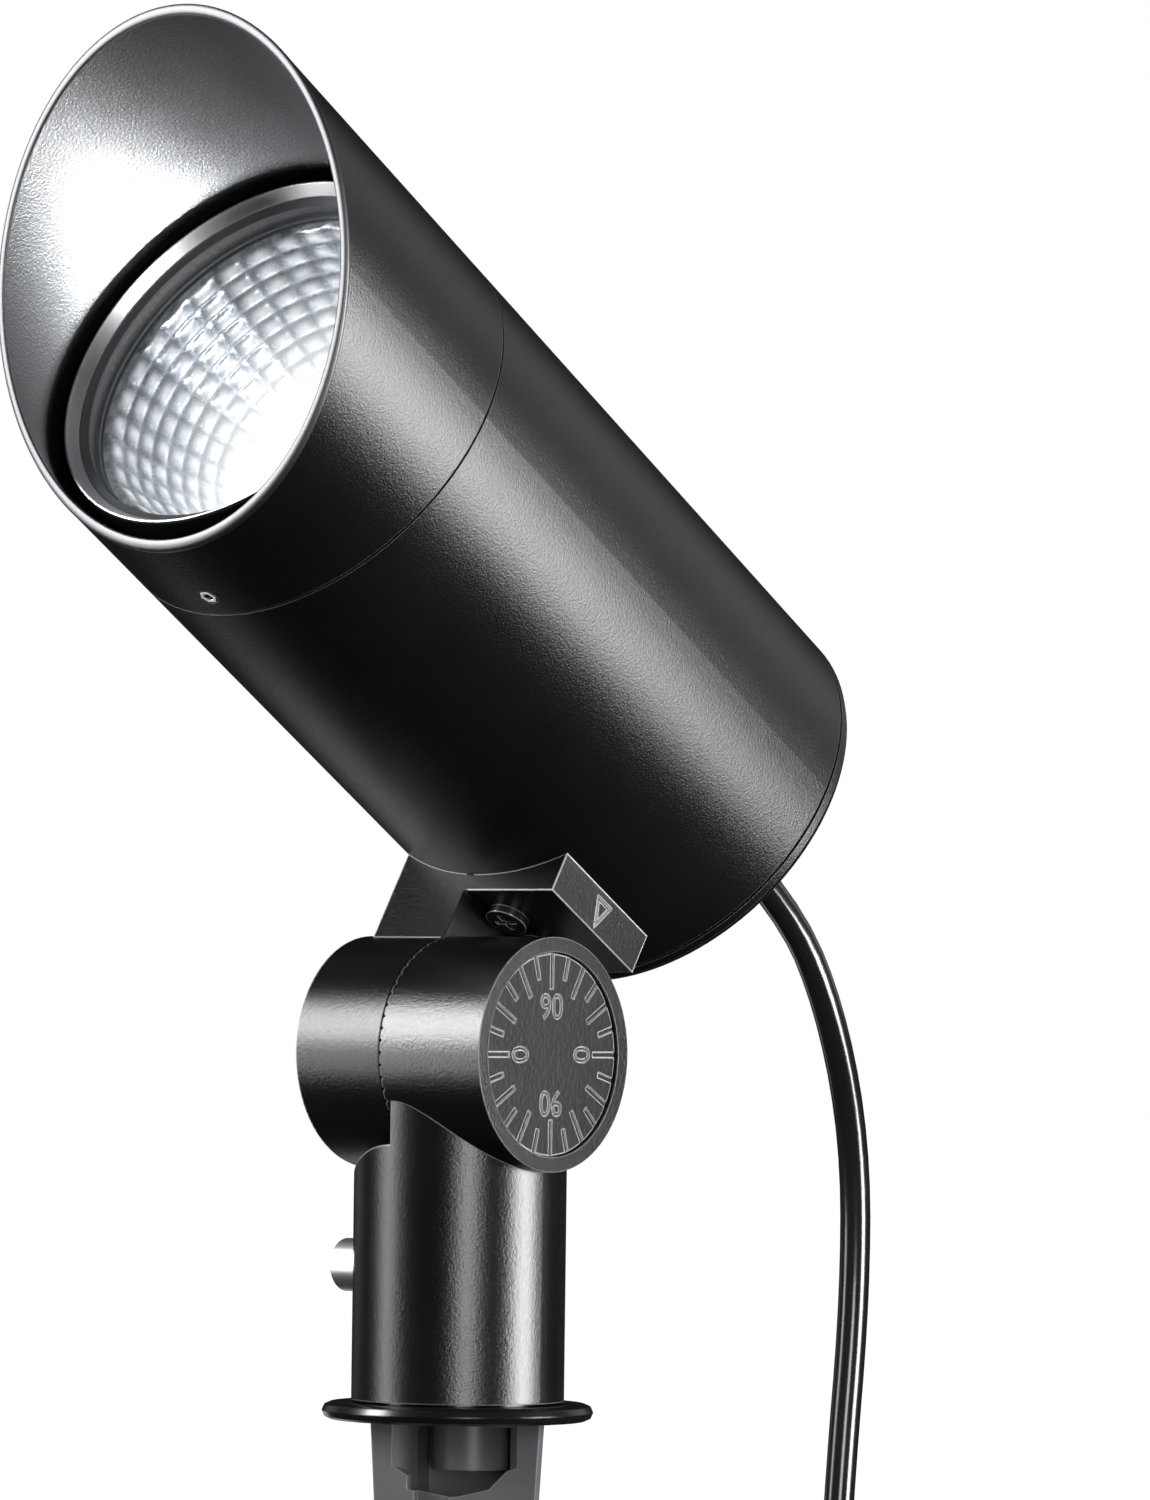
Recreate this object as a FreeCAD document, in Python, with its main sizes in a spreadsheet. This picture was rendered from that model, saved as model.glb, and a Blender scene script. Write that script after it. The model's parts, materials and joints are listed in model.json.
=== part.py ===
import FreeCAD, Part
import math
import os

import Sketcher
from FreeCAD import Placement, Rotation, Vector

# Garden spotlight on a ground stake: a tilting head with an oblique glare shroud, a toothed
# knuckle with a degree dial, a stem with a snap button, a stake, and a mains lead with a plug.
#
# Frame: +Z up, origin at the centre of the collar's underside, which is the ground line.
# The head tilts about an axis along X, the beam leaves towards -Y, and the dial faces +X.
# Lengths are in millimetres and angles in degrees.

DRIVING_SIZES = {
    # where the head and its hinge are
    "hinge_height": 73.0,  # hinge axis above the ground line
    "rest_tilt": 32.0,  # beam above horizontal at rest
    "head_standoff": 32.8,  # head's skin to the hinge axis
    # head housing
    "head_radius": 45.0,
    "head_wall": 2.6,
    "head_length": 128.2,  # visible tube, rear joint to front seam
    "seam_ahead": 106.2,  # front seam ahead of the hinge
    "cap_rim": 4.0,  # visible band of the rear cap
    "spigot_length": 11.0,  # turned step that the shroud slides over
    "spigot_wall": 3.1,
    "nose_length": 6.5,  # narrower step that carries the lens bezel
    "nose_inset": 5.5,  # nose inside the head's skin
    "nose_wall": 2.6,
    "spreader_seat": 84.0,  # shoulder for the heat spreader, ahead of the hinge
    # glare shroud
    "shroud_wall": 1.8,
    "shroud_reach": 48.8,  # seam to the middle of the oblique mouth
    "shroud_cut": 31.0,  # mouth's slant off square
    "seam_gap": 0.5,
    "lock_screw_ahead": 6.1,  # shroud screw ahead of the seam
    "lock_screw_radius": 2.0,
    # lens stack
    "glass_inset": 1.5,  # glass inside the nose
    "glass_thickness": 3.0,
    "gasket_wall": 1.5,
    "bezel_wall": 1.45,
    "bezel_reach": 2.7,
    "reflector_inset": 2.4,  # reflector's mouth inside the glass
    "reflector_throat": 10.5,
    "reflector_wall": 1.0,
    # light engine and driver
    "spreader_thickness": 4.0,
    "board_radius": 14.0,
    "chip_radius": 7.0,
    "driver_width": 46.0,
    "driver_length": 62.0,
    # rear cap and cable gland
    "cap_plate": 4.0,
    "cap_screw_inset": 7.5,
    "gland_offset": 5.0,
    "gland_across_flats": 16.0,
    "relief_length": 23.0,
    "cord_diameter": 6.5,
    # knuckle and bracket
    "knuckle_radius": 23.3,
    "knuckle_half_length": 23.7,
    "knuckle_seam": -1.8,  # the split between the two toothed halves
    "tooth_depth": 0.6,
    "bracket_half_width": 20.7,
    "bracket_half_length": 15.2,
    "bracket_step": 29.0,  # underside of the plate above the hinge
    "pivot_radius": 4.0,
    "dial_radius": 20.1,
    "dial_recess": 0.7,
    # stem, button and collar
    "stem_radius": 21.25,
    "stem_wall": 2.5,
    "ear_clearance": 27.9,
    "button_radius": 5.35,
    "button_reach": 8.2,
    "button_height": 30.0,
    "button_travel": 6.0,
    "collar_radius": 27.1,
    "collar_thickness": 3.4,
    # stake
    "stake_length": 160.0,
    "stake_half_width": 17.5,
    "stake_web": 3.6,
    "boss_radius": 7.9,
    # plug
    "plug_width": 23.4,
    "plug_depth": 24.0,
    "plug_length": 33.8,
    "plug_relief_length": 20.0,
    "blade_length": 16.3,
    "ground_pin_length": 21.2,
    "ground_pin_radius": 2.4,
    # put-away coil of cord
    "coil_radius": 44.0,  # centre line of the outer turn
    "coil_rings": 2.25,  # turns side by side in each of the two layers
}

RUNNING_FIT = 0.08
SLIP_FIT = 0.1
BODY_GAP = 0.3
MAINS_BLADE_SPACING = 12.7
MAINS_BLADE = (1.5, 6.3)
MAINS_PIN_DROP = 11.9
HEX = 6
CORD_CLEARANCE = 0.05

document = FreeCAD.newDocument("spotlight_stake")
sheet = document.addObject("Spreadsheet::Sheet", "Sizes")


class Dim(float):
    """A number that remembers the spreadsheet expression it comes from."""

    def __new__(cls, value, text=None):
        made = float.__new__(cls, value)
        made.text = text if text is not None else f"{float(value):.6f}"
        return made

    def __add__(self, other):
        return Dim(float(self) + float(other), f"({self.text} + {text_of(other)})")

    def __radd__(self, other):
        return Dim(float(other) + float(self), f"({text_of(other)} + {self.text})")

    def __sub__(self, other):
        return Dim(float(self) - float(other), f"({self.text} - {text_of(other)})")

    def __rsub__(self, other):
        return Dim(float(other) - float(self), f"({text_of(other)} - {self.text})")

    def __mul__(self, other):
        return Dim(float(self) * float(other), f"({self.text} * {text_of(other)})")

    __rmul__ = __mul__

    def __truediv__(self, other):
        return Dim(float(self) / float(other), f"({self.text} / {text_of(other)})")

    def __neg__(self):
        return Dim(-float(self), f"(0 - {self.text})")


def text_of(number):
    return number.text if isinstance(number, Dim) else f"{float(number):.6f}"


class Sizes:
    """The driving sizes by name, each bound to its cell."""


size = Sizes()
for row, (alias, amount) in enumerate(DRIVING_SIZES.items(), start=1):
    sheet.set(f"A{row}", alias)
    sheet.set(f"B{row}", str(amount))
    sheet.setAlias(f"B{row}", alias)
    setattr(size, alias, Dim(amount, f"Sizes.{alias}"))
document.recompute()

axis_offset = size.head_radius + size.head_standoff
nose_radius = size.head_radius - size.nose_inset
glass_radius = nose_radius - size.glass_inset
reflector_rim = glass_radius - size.reflector_inset
cap_screw_circle = size.head_radius - size.cap_screw_inset

made_names = set()
nodes = {}


def fresh(name):
    """A unique object name for a construction piece."""
    tried = name
    count = 1
    while tried in made_names:
        count += 1
        tried = f"{name}_{count}"
    made_names.add(tried)
    return tried


def bind(thing, prop, number):
    setattr(thing, prop, float(number))
    if isinstance(number, Dim):
        thing.setExpression(prop, number.text)


def outline_sketch(body, role, name, outline):
    """A closed sketch of straight edges whose corners are each bound to the sheet."""
    plane = [f for f in body.Origin.OriginFeatures if f.Role == role][0]
    sketch = body.newObject("Sketcher::SketchObject", fresh(name + "_sketch"))
    sketch.AttachmentSupport = [(plane, "")]
    sketch.MapMode = "FlatFace"
    corners = [Vector(float(a), float(b), 0) for a, b in outline]
    count = len(corners)
    for i in range(count):
        sketch.addGeometry(Part.LineSegment(corners[i], corners[(i + 1) % count]))
    for i in range(count):
        sketch.addConstraint(Sketcher.Constraint("Coincident", i, 2, (i + 1) % count, 1))
    for i, corner in enumerate(outline):
        for kind, number in zip(("DistanceX", "DistanceY"), corner):
            rule = Sketcher.Constraint(kind, -1, 1, i, 1, float(number))
            index = sketch.addConstraint(rule)
            if isinstance(number, Dim):
                sketch.setExpression(f"Constraints[{index}]", number.text)
    return sketch


def turned(name, outline):
    """A piece turned about its own Z: outline is (radius, height) corners."""
    body = document.addObject("PartDesign::Body", fresh(name))
    sketch = outline_sketch(body, "XZ_Plane", name, outline)
    revolution = body.newObject("PartDesign::Revolution", fresh(name + "_turn"))
    revolution.Profile = sketch
    revolution.ReferenceAxis = (sketch, ["V_Axis"])
    revolution.Angle = 360
    return body


def padded(name, role, outline, length, reversed_pad=False, both_ways=False):
    """A piece padded square off one of its origin planes."""
    body = document.addObject("PartDesign::Body", fresh(name))
    sketch = outline_sketch(body, role, name, outline)
    pad = body.newObject("PartDesign::Pad", fresh(name + "_pad"))
    pad.Profile = sketch
    bind(pad, "Length", length)
    pad.Midplane = both_ways
    pad.Reversed = reversed_pad
    return body


AIM = {
    "X": Rotation(Vector(0, 1, 0), 90),
    "Y": Rotation(Vector(1, 0, 0), -90),
    "Z": Rotation(),
}


def rod(name, radius, start, end, axis="Z", at=(0, 0)):
    """A cylinder from start to end along one axis, at the other two coordinates."""
    made = document.addObject("Part::Cylinder", fresh(name))
    bind(made, "Radius", radius)
    bind(made, "Height", end - start)
    a, b = (float(value) for value in at)
    base = {"X": (start, a, b), "Y": (a, start, b), "Z": (a, b, start)}[axis]
    made.Placement = Placement(Vector(*(float(value) for value in base)), AIM[axis])
    return made


def block(name, xs, ys, zs):
    """A box between two values on each axis."""
    made = document.addObject("Part::Box", fresh(name))
    for prop, (low, high) in zip(("Length", "Width", "Height"), (xs, ys, zs)):
        bind(made, prop, high - low)
    made.Placement = Placement(Vector(*(float(r[0]) for r in (xs, ys, zs))), Rotation())
    return made


def hexagon(name, across_flats, start, end, axis="Z", at=(0, 0)):
    """A hexagonal prism along one axis."""
    made = document.addObject("Part::Prism", fresh(name))
    made.Polygon = HEX
    bind(made, "Circumradius", across_flats / math.sqrt(3))
    bind(made, "Height", end - start)
    a, b = (float(value) for value in at)
    base = {"X": (start, a, b), "Y": (a, start, b), "Z": (a, b, start)}[axis]
    made.Placement = Placement(Vector(*(float(value) for value in base)), AIM[axis])
    return made


def joined(name, pieces):
    made = document.addObject("Part::MultiFuse", fresh(name))
    made.Shapes = pieces
    return made


def shared(name, first, second):
    made = document.addObject("Part::Common", fresh(name))
    made.Base = first
    made.Tool = second
    return made


def less(name, base, tools):
    """base with each tool cut away in turn."""
    for tool in tools:
        made = document.addObject("Part::Cut", fresh(name + "_cut"))
        made.Base = base
        made.Tool = tool
        base = made
    return base


def group(name, pieces):
    """Separate solids kept in one node."""
    made = document.addObject("Part::Compound", fresh(name))
    made.Links = pieces
    return made


def feature(name, shape):
    made = document.addObject("Part::Feature", fresh(name))
    made.Shape = shape
    return made


def node(label, thing, place=None):
    """Names a finished sub-part and puts it where it belongs."""
    if place is not None:
        thing.Placement = place * thing.Placement
    thing.Label = label
    nodes[label] = thing


# The hinge frame: x along the hinge, y from the hinge towards the head, z along the beam.
# The head frame is the same, moved on to the head's own axis.
hinge_frame = Placement(
    Vector(0, 0, size.hinge_height), Rotation(Vector(1, 0, 0), 90 - float(size.rest_tilt))
)
head_frame = hinge_frame * Placement(Vector(0, float(axis_offset), 0), Rotation())

# Stations along the head's axis, measured from the foot of the hinge.
seam = size.seam_ahead
back = seam - size.head_length
cap_face = back - size.cap_rim
spigot_end = seam + size.spigot_length
nose_end = spigot_end + size.nose_length
flange_thickness = 0.6
glass_back = nose_end + 2 * flange_thickness
glass_front = glass_back + size.glass_thickness
gasket_front = glass_front + 1.0
bezel_front = gasket_front + size.bezel_reach
shroud_bore = size.head_radius - size.shroud_wall
spigot_radius = shroud_bore - RUNNING_FIT
head_bore = size.head_radius - size.head_wall
spigot_bore = spigot_radius - size.spigot_wall
nose_bore = nose_radius - size.nose_wall
lock_station = seam + size.lock_screw_ahead
groove_half = 2.4
groove_depth = 1.3
bracket_screw_x = 3.0
bracket_screw_z = 5.7
bracket_screw_radius = 1.9


def polar(radius, degrees):
    """A point on a circle as two plain coordinates."""
    turn = math.radians(degrees)
    return float(radius) * math.cos(turn), float(radius) * math.sin(turn)


CAP_SCREW_ANGLES = (90, 210, 330)


def make_head_housing():
    """Turned aluminium tube with a spigot and nose in front and bosses inside."""
    body = turned(
        "housing",
        [
            (size.head_radius, back),
            (size.head_radius, seam),
            (spigot_radius, seam),
            (spigot_radius, lock_station - groove_half),
            (spigot_radius - groove_depth, lock_station - groove_half),
            (spigot_radius - groove_depth, lock_station + groove_half),
            (spigot_radius, lock_station + groove_half),
            (spigot_radius, spigot_end),
            (nose_radius, spigot_end),
            (nose_radius, nose_end),
            (nose_bore, nose_end),
            (nose_bore, spigot_end - size.spigot_wall),
            (spigot_bore, spigot_end - size.spigot_wall),
            (spigot_bore, size.spreader_seat),
            (head_bore, size.spreader_seat),
            (head_bore, back),
        ],
    )
    pad_top = head_bore - 5.4
    pad = shared(
        "screw_pad",
        block("pad", (-6.0, 12.0), (-size.head_radius, -pad_top), (-13.0, 13.0)),
        rod("pad_limit", size.head_radius - 1.0, -14.0, 14.0),
    )
    bosses = []
    holes = []
    for degrees in CAP_SCREW_ANGLES:
        at = polar(cap_screw_circle, degrees)
        boss = rod("boss", 5.2, back + 4.6, back + 18.0, at=at)
        limit = rod("boss_limit", size.head_radius - 1.0, back + 4.0, back + 19.0)
        bosses.append(shared("cap_boss", boss, limit))
        holes.append(rod("boss_hole", 1.3, back, back + 14.0, at=at))
    for station in (-bracket_screw_z, bracket_screw_z):
        at = (bracket_screw_x, station)
        hole = rod("tap", bracket_screw_radius, -size.head_radius - 1, -pad_top + 1, "Y", at)
        holes.append(hole)
    solid = joined("housing_solid", [body, pad] + bosses)
    node("head_housing", less("housing", solid, holes), head_frame)


def make_glare_shroud():
    """Sleeve over the spigot, cut off on a slant so that its mouth stands upright at rest."""
    far = seam + size.shroud_reach + 2 * size.head_radius
    body = turned(
        "sleeve",
        [
            (shroud_bore, seam + size.seam_gap),
            (size.head_radius, seam + size.seam_gap),
            (size.head_radius, far),
            (shroud_bore, far),
        ],
    )
    span = 4 * size.head_radius
    slab = block("mouth_cut", (-span / 2, span / 2), (-span / 2, span / 2), (0.0, span))
    slab.Placement = Placement(
        Vector(0, 0, float(seam + size.shroud_reach)),
        Rotation(Vector(1, 0, 0), float(size.shroud_cut)),
    ) * Placement(Vector(-float(span) / 2, -float(span) / 2, 0), Rotation())
    hole = rod(
        "lock_hole", size.lock_screw_radius + 0.05, -size.head_radius - 1,
        -shroud_bore + 1, "Y", (0, float(lock_station)),
    )
    node("glare_shroud", less("shroud", body, [slab, hole]), head_frame)


def make_shroud_lock_screw():
    """Hex socket grub screw whose tip rides in the spigot's groove."""
    tip = spigot_radius - groove_depth + 0.4
    at = (0, float(lock_station))
    shank = rod("grub", size.lock_screw_radius, -size.head_radius + 0.1, -tip, "Y", at)
    socket = hexagon("grub_hex", 2.0, -size.head_radius - 0.5, -size.head_radius + 1.4, "Y", at)
    node("shroud_lock_screw", less("lock", shank, [socket]), head_frame)


def make_lens_stack():
    """Bezel, glass and gasket that close the front of the head."""
    gasket_radius = glass_radius + size.gasket_wall
    lip = glass_radius - 1.0
    bore = gasket_radius + 0.05
    outer = bore + size.bezel_wall
    bezel = turned(
        "bezel",
        [
            (bore, spigot_end + 0.4),
            (outer, spigot_end + 0.4),
            (outer, bezel_front),
            (outer - 0.4, bezel_front),
            (gasket_radius - 0.7, gasket_front + 0.3),
            (gasket_radius - 0.7, gasket_front),
            (bore, gasket_front),
        ],
    )
    node("lens_bezel", bezel, head_frame)
    gasket = turned(
        "gasket",
        [
            (lip, nose_end + flange_thickness),
            (gasket_radius, nose_end + flange_thickness),
            (gasket_radius, gasket_front),
            (gasket_radius - 0.9, gasket_front),
            (lip, glass_front + 0.5),
            (lip, glass_front),
            (glass_radius, glass_front),
            (glass_radius, glass_back),
            (lip, glass_back),
        ],
    )
    node("lens_gasket", gasket, head_frame)
    glass = rod("glass", glass_radius, glass_back, glass_front)
    node("lens_glass", glass, head_frame)


board_front = size.spreader_seat + 1.6
holder_front = board_front + 3.0


def make_reflector():
    """Thin metallised bowl, a parabola from throat to rim, hung by its flange on the nose."""
    depth = float(nose_end - holder_front)
    throat = float(size.reflector_throat)
    rim = float(reflector_rim)
    wall = float(size.reflector_wall)
    middle = throat + (rim - throat) * math.sqrt(0.5)
    start = float(holder_front)

    def wall_arc(grow):
        return Part.Arc(
            Vector(throat + grow, 0, start),
            Vector(middle + grow, 0, start + depth / 2),
            Vector(rim + grow, 0, start + depth),
        ).toShape()

    flange = float(glass_radius + 1.0)
    top = start + depth + flange_thickness
    corners = [
        Vector(rim + wall, 0, start + depth),
        Vector(flange, 0, start + depth),
        Vector(flange, 0, top),
        Vector(rim, 0, top),
        Vector(rim, 0, start + depth),
    ]
    edges = [wall_arc(0), wall_arc(wall)]
    edges.append(Part.makeLine(Vector(throat, 0, start), Vector(throat + wall, 0, start)))
    edges += [Part.makeLine(a, b) for a, b in zip(corners[:-1], corners[1:])]
    face = Part.Face(Part.Wire(Part.__sortEdges__(edges)))
    bowl = face.revolve(Vector(0, 0, 0), Vector(0, 0, 1), 360)
    node("reflector", feature("bowl", bowl), head_frame)


def make_light_engine():
    """Chip on its board, held against the heat spreader."""
    spreader = rod(
        "spreader", head_bore - SLIP_FIT, size.spreader_seat - size.spreader_thickness,
        size.spreader_seat,
    )
    wire_hole = rod(
        "wire_hole", 2.5, size.spreader_seat - size.spreader_thickness - 1,
        size.spreader_seat + 1, at=(0, -20.0),
    )
    node("heat_spreader", less("spreader", spreader, [wire_hole]), head_frame)
    board = rod("board", size.board_radius, size.spreader_seat, board_front)
    node("led_board", board, head_frame)
    chip = rod("chip", size.chip_radius, board_front, board_front + 1.0)
    node("led_chip", chip, head_frame)
    holder = turned(
        "holder",
        [
            (size.chip_radius + 1.0, board_front),
            (size.board_radius - 0.5, board_front),
            (size.board_radius - 0.5, holder_front),
            (size.chip_radius + 1.0, holder_front),
        ],
    )
    node("led_holder", holder, head_frame)


driver_floor = -16.0
driver_start = 10.0


def make_driver():
    """Mains driver on a carrier that hangs from the heat spreader."""
    half = size.driver_width / 2
    end = size.spreader_seat - size.spreader_thickness
    plate = block("plate", (-half - 3.0, half + 3.0), (driver_floor, driver_floor + 2.4), (4.0, end))
    foot = block("foot", (-half - 3.0, half + 3.0), (driver_floor, 12.0), (end - 2.4, end))
    posts = []
    board_low = driver_floor + 5.4
    stop = driver_start + size.driver_length
    for x in (-half + 4.0, half - 4.0):
        for z in (driver_start + 4.0, stop - 4.0):
            posts.append(rod("post", 3.0, driver_floor + 2.0, board_low, "Y", (x, z)))
    wire_slot = block(
        "wire_slot", (-2.5, 2.5), (driver_floor - 1.0, driver_floor + 3.4), (stop + 1.2, end - 2.4)
    )
    node("driver_carrier", less("carrier", joined("rack", [plate, foot] + posts), [wire_slot]), head_frame)
    board = block("pcb", (-half, half), (board_low, board_low + 1.6), (driver_start, stop))
    node("driver_board", board, head_frame)
    top = board_low + 1.6
    core = block("core", (-11.0, 11.0), (top, top + 17.0), (28.0, 47.0))
    node("driver_transformer", core, head_frame)
    cans = [
        rod("bulk_can", 6.0, top, top + 20.0, "Y", (-13.0, 18.5)),
        rod("output_can", 5.0, top, top + 15.0, "Y", (14.0, 55.0)),
        rod("small_can", 3.5, top, top + 11.0, "Y", (-15.0, 60.0)),
    ]
    node("driver_capacitors", group("cans", cans), head_frame)
    chips = [
        block("bridge", (8.0, 16.0), (top, top + 5.0), (14.0, 20.0)),
        block("switch", (-6.0, 4.0), (top, top + 4.0), (53.0, 60.0)),
        block("terminal", (-3.0, 7.0), (top, top + 9.0), (12.0, 20.0)),
    ]
    node("driver_chips", group("chips", chips), head_frame)


cap_spigot = 4.0


def make_rear_cap():
    """Disc with a chamfered rim, a spigot into the housing and a groove for its seal."""
    hole = 6.1
    rim = size.head_radius
    spigot = head_bore - 0.15
    groove = spigot - 1.35
    body = turned(
        "cap",
        [
            (0.0, cap_face),
            (rim - 1.8, cap_face),
            (rim - 0.55, cap_face + 0.5),
            (rim, cap_face + 1.7),
            (rim, back - 0.6),
            (rim - 0.9, back - 0.6),
            (rim - 0.9, back),
            (spigot, back),
            (spigot, back + 1.0),
            (groove, back + 1.0),
            (groove, back + 3.0),
            (spigot, back + 3.0),
            (spigot, back + cap_spigot),
            (spigot - 3.0, back + cap_spigot),
            (spigot - 3.0, back),
            (0.0, back),
        ],
    )
    tools = [rod("gland_hole", hole, cap_face - 1, back + 1, at=(0, size.gland_offset))]
    for degrees in CAP_SCREW_ANGLES:
        at = polar(cap_screw_circle, degrees)
        tools.append(rod("cap_hole", 1.7, cap_face - 1, back + cap_spigot + 1, at=at))
        tools.append(rod("cap_sink", 3.1, cap_face - 1, cap_face + 2.2, at=at))
    node("rear_cap", less("cap", body, tools), head_frame)
    seal = turned(
        "cap_seal",
        [
            (groove, back + 1.1),
            (head_bore, back + 1.1),
            (head_bore, back + 2.9),
            (groove, back + 2.9),
        ],
    )
    node("rear_cap_seal", seal, head_frame)
    screws = []
    for degrees in CAP_SCREW_ANGLES:
        at = polar(cap_screw_circle, degrees)
        head = rod("cap_screw_head", 2.8, cap_face + 0.2, cap_face + 2.2, at=at)
        shank = rod("cap_screw_shank", 1.3, cap_face + 2.0, cap_face + 15.0, at=at)
        socket = hexagon("cap_screw_hex", 2.0, cap_face - 1, cap_face + 1.3, at=at)
        screws.append(less("cap_screw", joined("cap_screw", [head, shank]), [socket]))
    node("rear_cap_screws", group("cap_screws", screws), head_frame)


def gland_place():
    """The gland's own frame: z forwards into the head, at the gland's centre."""
    return head_frame * Placement(Vector(0, float(size.gland_offset), 0), Rotation())


relief_end = cap_face - 4.0 - size.relief_length


def make_cable_gland():
    """Gland body with a hexagon and dome, its lock nut inside, and the tapered bend relief."""
    place = gland_place()
    hexa = hexagon("gland_hex", size.gland_across_flats, cap_face - 5.0, cap_face)
    dome = turned(
        "gland_dome",
        [
            (0.0, cap_face - 10.0),
            (6.6, cap_face - 10.0),
            (7.8, cap_face - 8.6),
            (7.8, cap_face - 5.0),
            (0.0, cap_face - 5.0),
        ],
    )
    stem = rod("gland_stem", 6.0, cap_face, back + 8.0)
    bore = rod("gland_bore", 5.3, cap_face - 11.0, cap_face - 4.0)
    wires = rod("gland_wires", 3.3, cap_face - 5.0, back + 9.0)
    node("cable_gland", less("gland", joined("gland", [hexa, dome, stem]), [bore, wires]), place)
    nut = hexagon("nut", 17.0, back, back + 4.0)
    nut_hole = rod("nut_hole", 6.05, back - 1, back + 5.0)
    node("gland_lock_nut", less("nut", nut, [nut_hole]), place)
    cord = size.cord_diameter / 2
    relief = turned(
        "relief",
        [
            (0.0, relief_end),
            (cord + 0.9, relief_end),
            (5.2, cap_face - 4.0),
            (0.0, cap_face - 4.0),
        ],
    )
    node("bend_relief", relief, place)


def make_knuckle_bracket():
    """Die-cast bracket: saddle plate, side ear and the head's half of the toothed knuckle."""
    wide = size.bracket_half_width
    long = size.bracket_half_length
    inner = size.knuckle_seam - BODY_GAP
    top = axis_offset - 20.0
    plate = block("plate", (-wide, wide), (size.bracket_step, top), (-long, long))
    ear = block("ear", (-wide, inner), (0.0, top), (-long, long))
    drum = rod("drum", size.knuckle_radius, -size.knuckle_half_length, inner, "X")
    saddle = rod(
        "saddle", size.head_radius + 0.05, -long - 5, long + 5, at=(0, float(axis_offset))
    )
    tools = [
        saddle,
        rod("bore", size.pivot_radius + RUNNING_FIT, -size.knuckle_half_length - 1, 0.0, "X"),
        rod("counterbore", 7.3, -size.knuckle_half_length - 1, -14.0, "X"),
    ]
    for station in (-bracket_screw_z, bracket_screw_z):
        at = (bracket_screw_x, station)
        tools.append(rod("plate_hole", bracket_screw_radius + 0.1, 20.0, top + 1, "Y", at))
    # The pointer is an engraved triangle whose tip looks at the dial.
    outer = [(wide - 0.4, 29.9, 0.1), (wide - 0.4, 36.1, -2.7), (wide - 0.4, 36.1, 2.5)]
    middle = Vector(float(wide) - 0.4, 34.0, 0.0)
    edge = [Vector(*(float(value) for value in corner)) for corner in outer]
    hole = [middle + (corner - middle) * 0.62 for corner in edge]
    depth = Vector(2, 0, 0)
    ring = Part.Face(Part.makePolygon(edge + edge[:1])).extrude(depth)
    core = Part.Face(Part.makePolygon(hole + hole[:1])).extrude(depth)
    tools.append(feature("pointer", ring.cut(core)))
    node(
        "knuckle_bracket",
        less("bracket", joined("bracket", [plate, ear, drum]), tools),
        hinge_frame,
    )
    screws = []
    step = size.bracket_step
    for station in (-bracket_screw_z, bracket_screw_z):
        at = (bracket_screw_x, station)
        head = rod("pan_head", 4.3, step - 1.7, step, "Y", at)
        shank = rod("pan_shank", bracket_screw_radius, step, step + 9.0, "Y", at)
        slots = [
            block("slot", (at[0] - 2.5, at[0] + 2.5), (step - 3.0, step - 0.9),
                  (at[1] - 0.5, at[1] + 0.5)),
            block("slot", (at[0] - 0.5, at[0] + 0.5), (step - 3.0, step - 0.9),
                  (at[1] - 2.5, at[1] + 2.5)),
        ]
        screws.append(less("pan_screw", joined("pan_screw", [head, shank]), slots))
    node("bracket_screws", group("bracket_screws", screws), hinge_frame)


def make_pivot():
    """Cap screw, washer and nut that clamp the two toothed halves together."""
    height = float(size.hinge_height)
    at = (0, height)
    head_face = -14.1 - 1.2
    head = rod("pivot_head", 6.5, head_face - 8.0, head_face, "X", at)
    shank = rod("pivot_shank", size.pivot_radius, head_face, 16.0, "X", at)
    socket = hexagon("pivot_hex", 6.0, head_face - 9.0, head_face - 3.5, "X", at)
    node("pivot_bolt", less("pivot", joined("pivot", [head, shank]), [socket]))
    washer = rod("washer", 7.0, head_face, head_face + 1.2, "X", at)
    washer_hole = rod("washer_hole", size.pivot_radius, head_face - 1, head_face + 2, "X", at)
    node("pivot_washer", less("washer", washer, [washer_hole]))
    nut = hexagon("pivot_nut", 13.0, 8.0, 14.5, "X", at)
    nut_hole = rod("pivot_nut_hole", size.pivot_radius, 7.0, 15.5, "X", at)
    node("pivot_nut", less("pivot_nut", nut, [nut_hole]))


TOOTH_COUNT = 60
tooth_inner = 14.0


def tooth_cutter():
    """Radial V notches around the knuckle's toothed face."""
    outer = float(size.knuckle_radius) + 1.0
    face = float(size.knuckle_seam)
    deep = float(size.tooth_depth)
    notches = []
    for index in range(TOOTH_COUNT):
        turn = 360.0 * index / TOOTH_COUNT
        half_in = math.pi * tooth_inner / TOOTH_COUNT
        half_out = math.pi * outer / TOOTH_COUNT
        near = [Vector(face - 1, -half_in, tooth_inner), Vector(face - 1, half_in, tooth_inner),
                Vector(face + deep, 0, tooth_inner)]
        far = [Vector(face - 1, -half_out, outer), Vector(face - 1, half_out, outer),
               Vector(face + deep, 0, outer)]
        wires = [Part.makePolygon(points + points[:1]) for points in (near, far)]
        notch = Part.makeLoft(wires, True, True)
        notch.rotate(Vector(0, 0, 0), Vector(1, 0, 0), turn)
        notches.append(notch)
    cutter = Part.makeCompound(notches)
    cutter.translate(Vector(0, 0, float(size.hinge_height)))
    return cutter


collar_top = size.collar_thickness + 0.5


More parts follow.
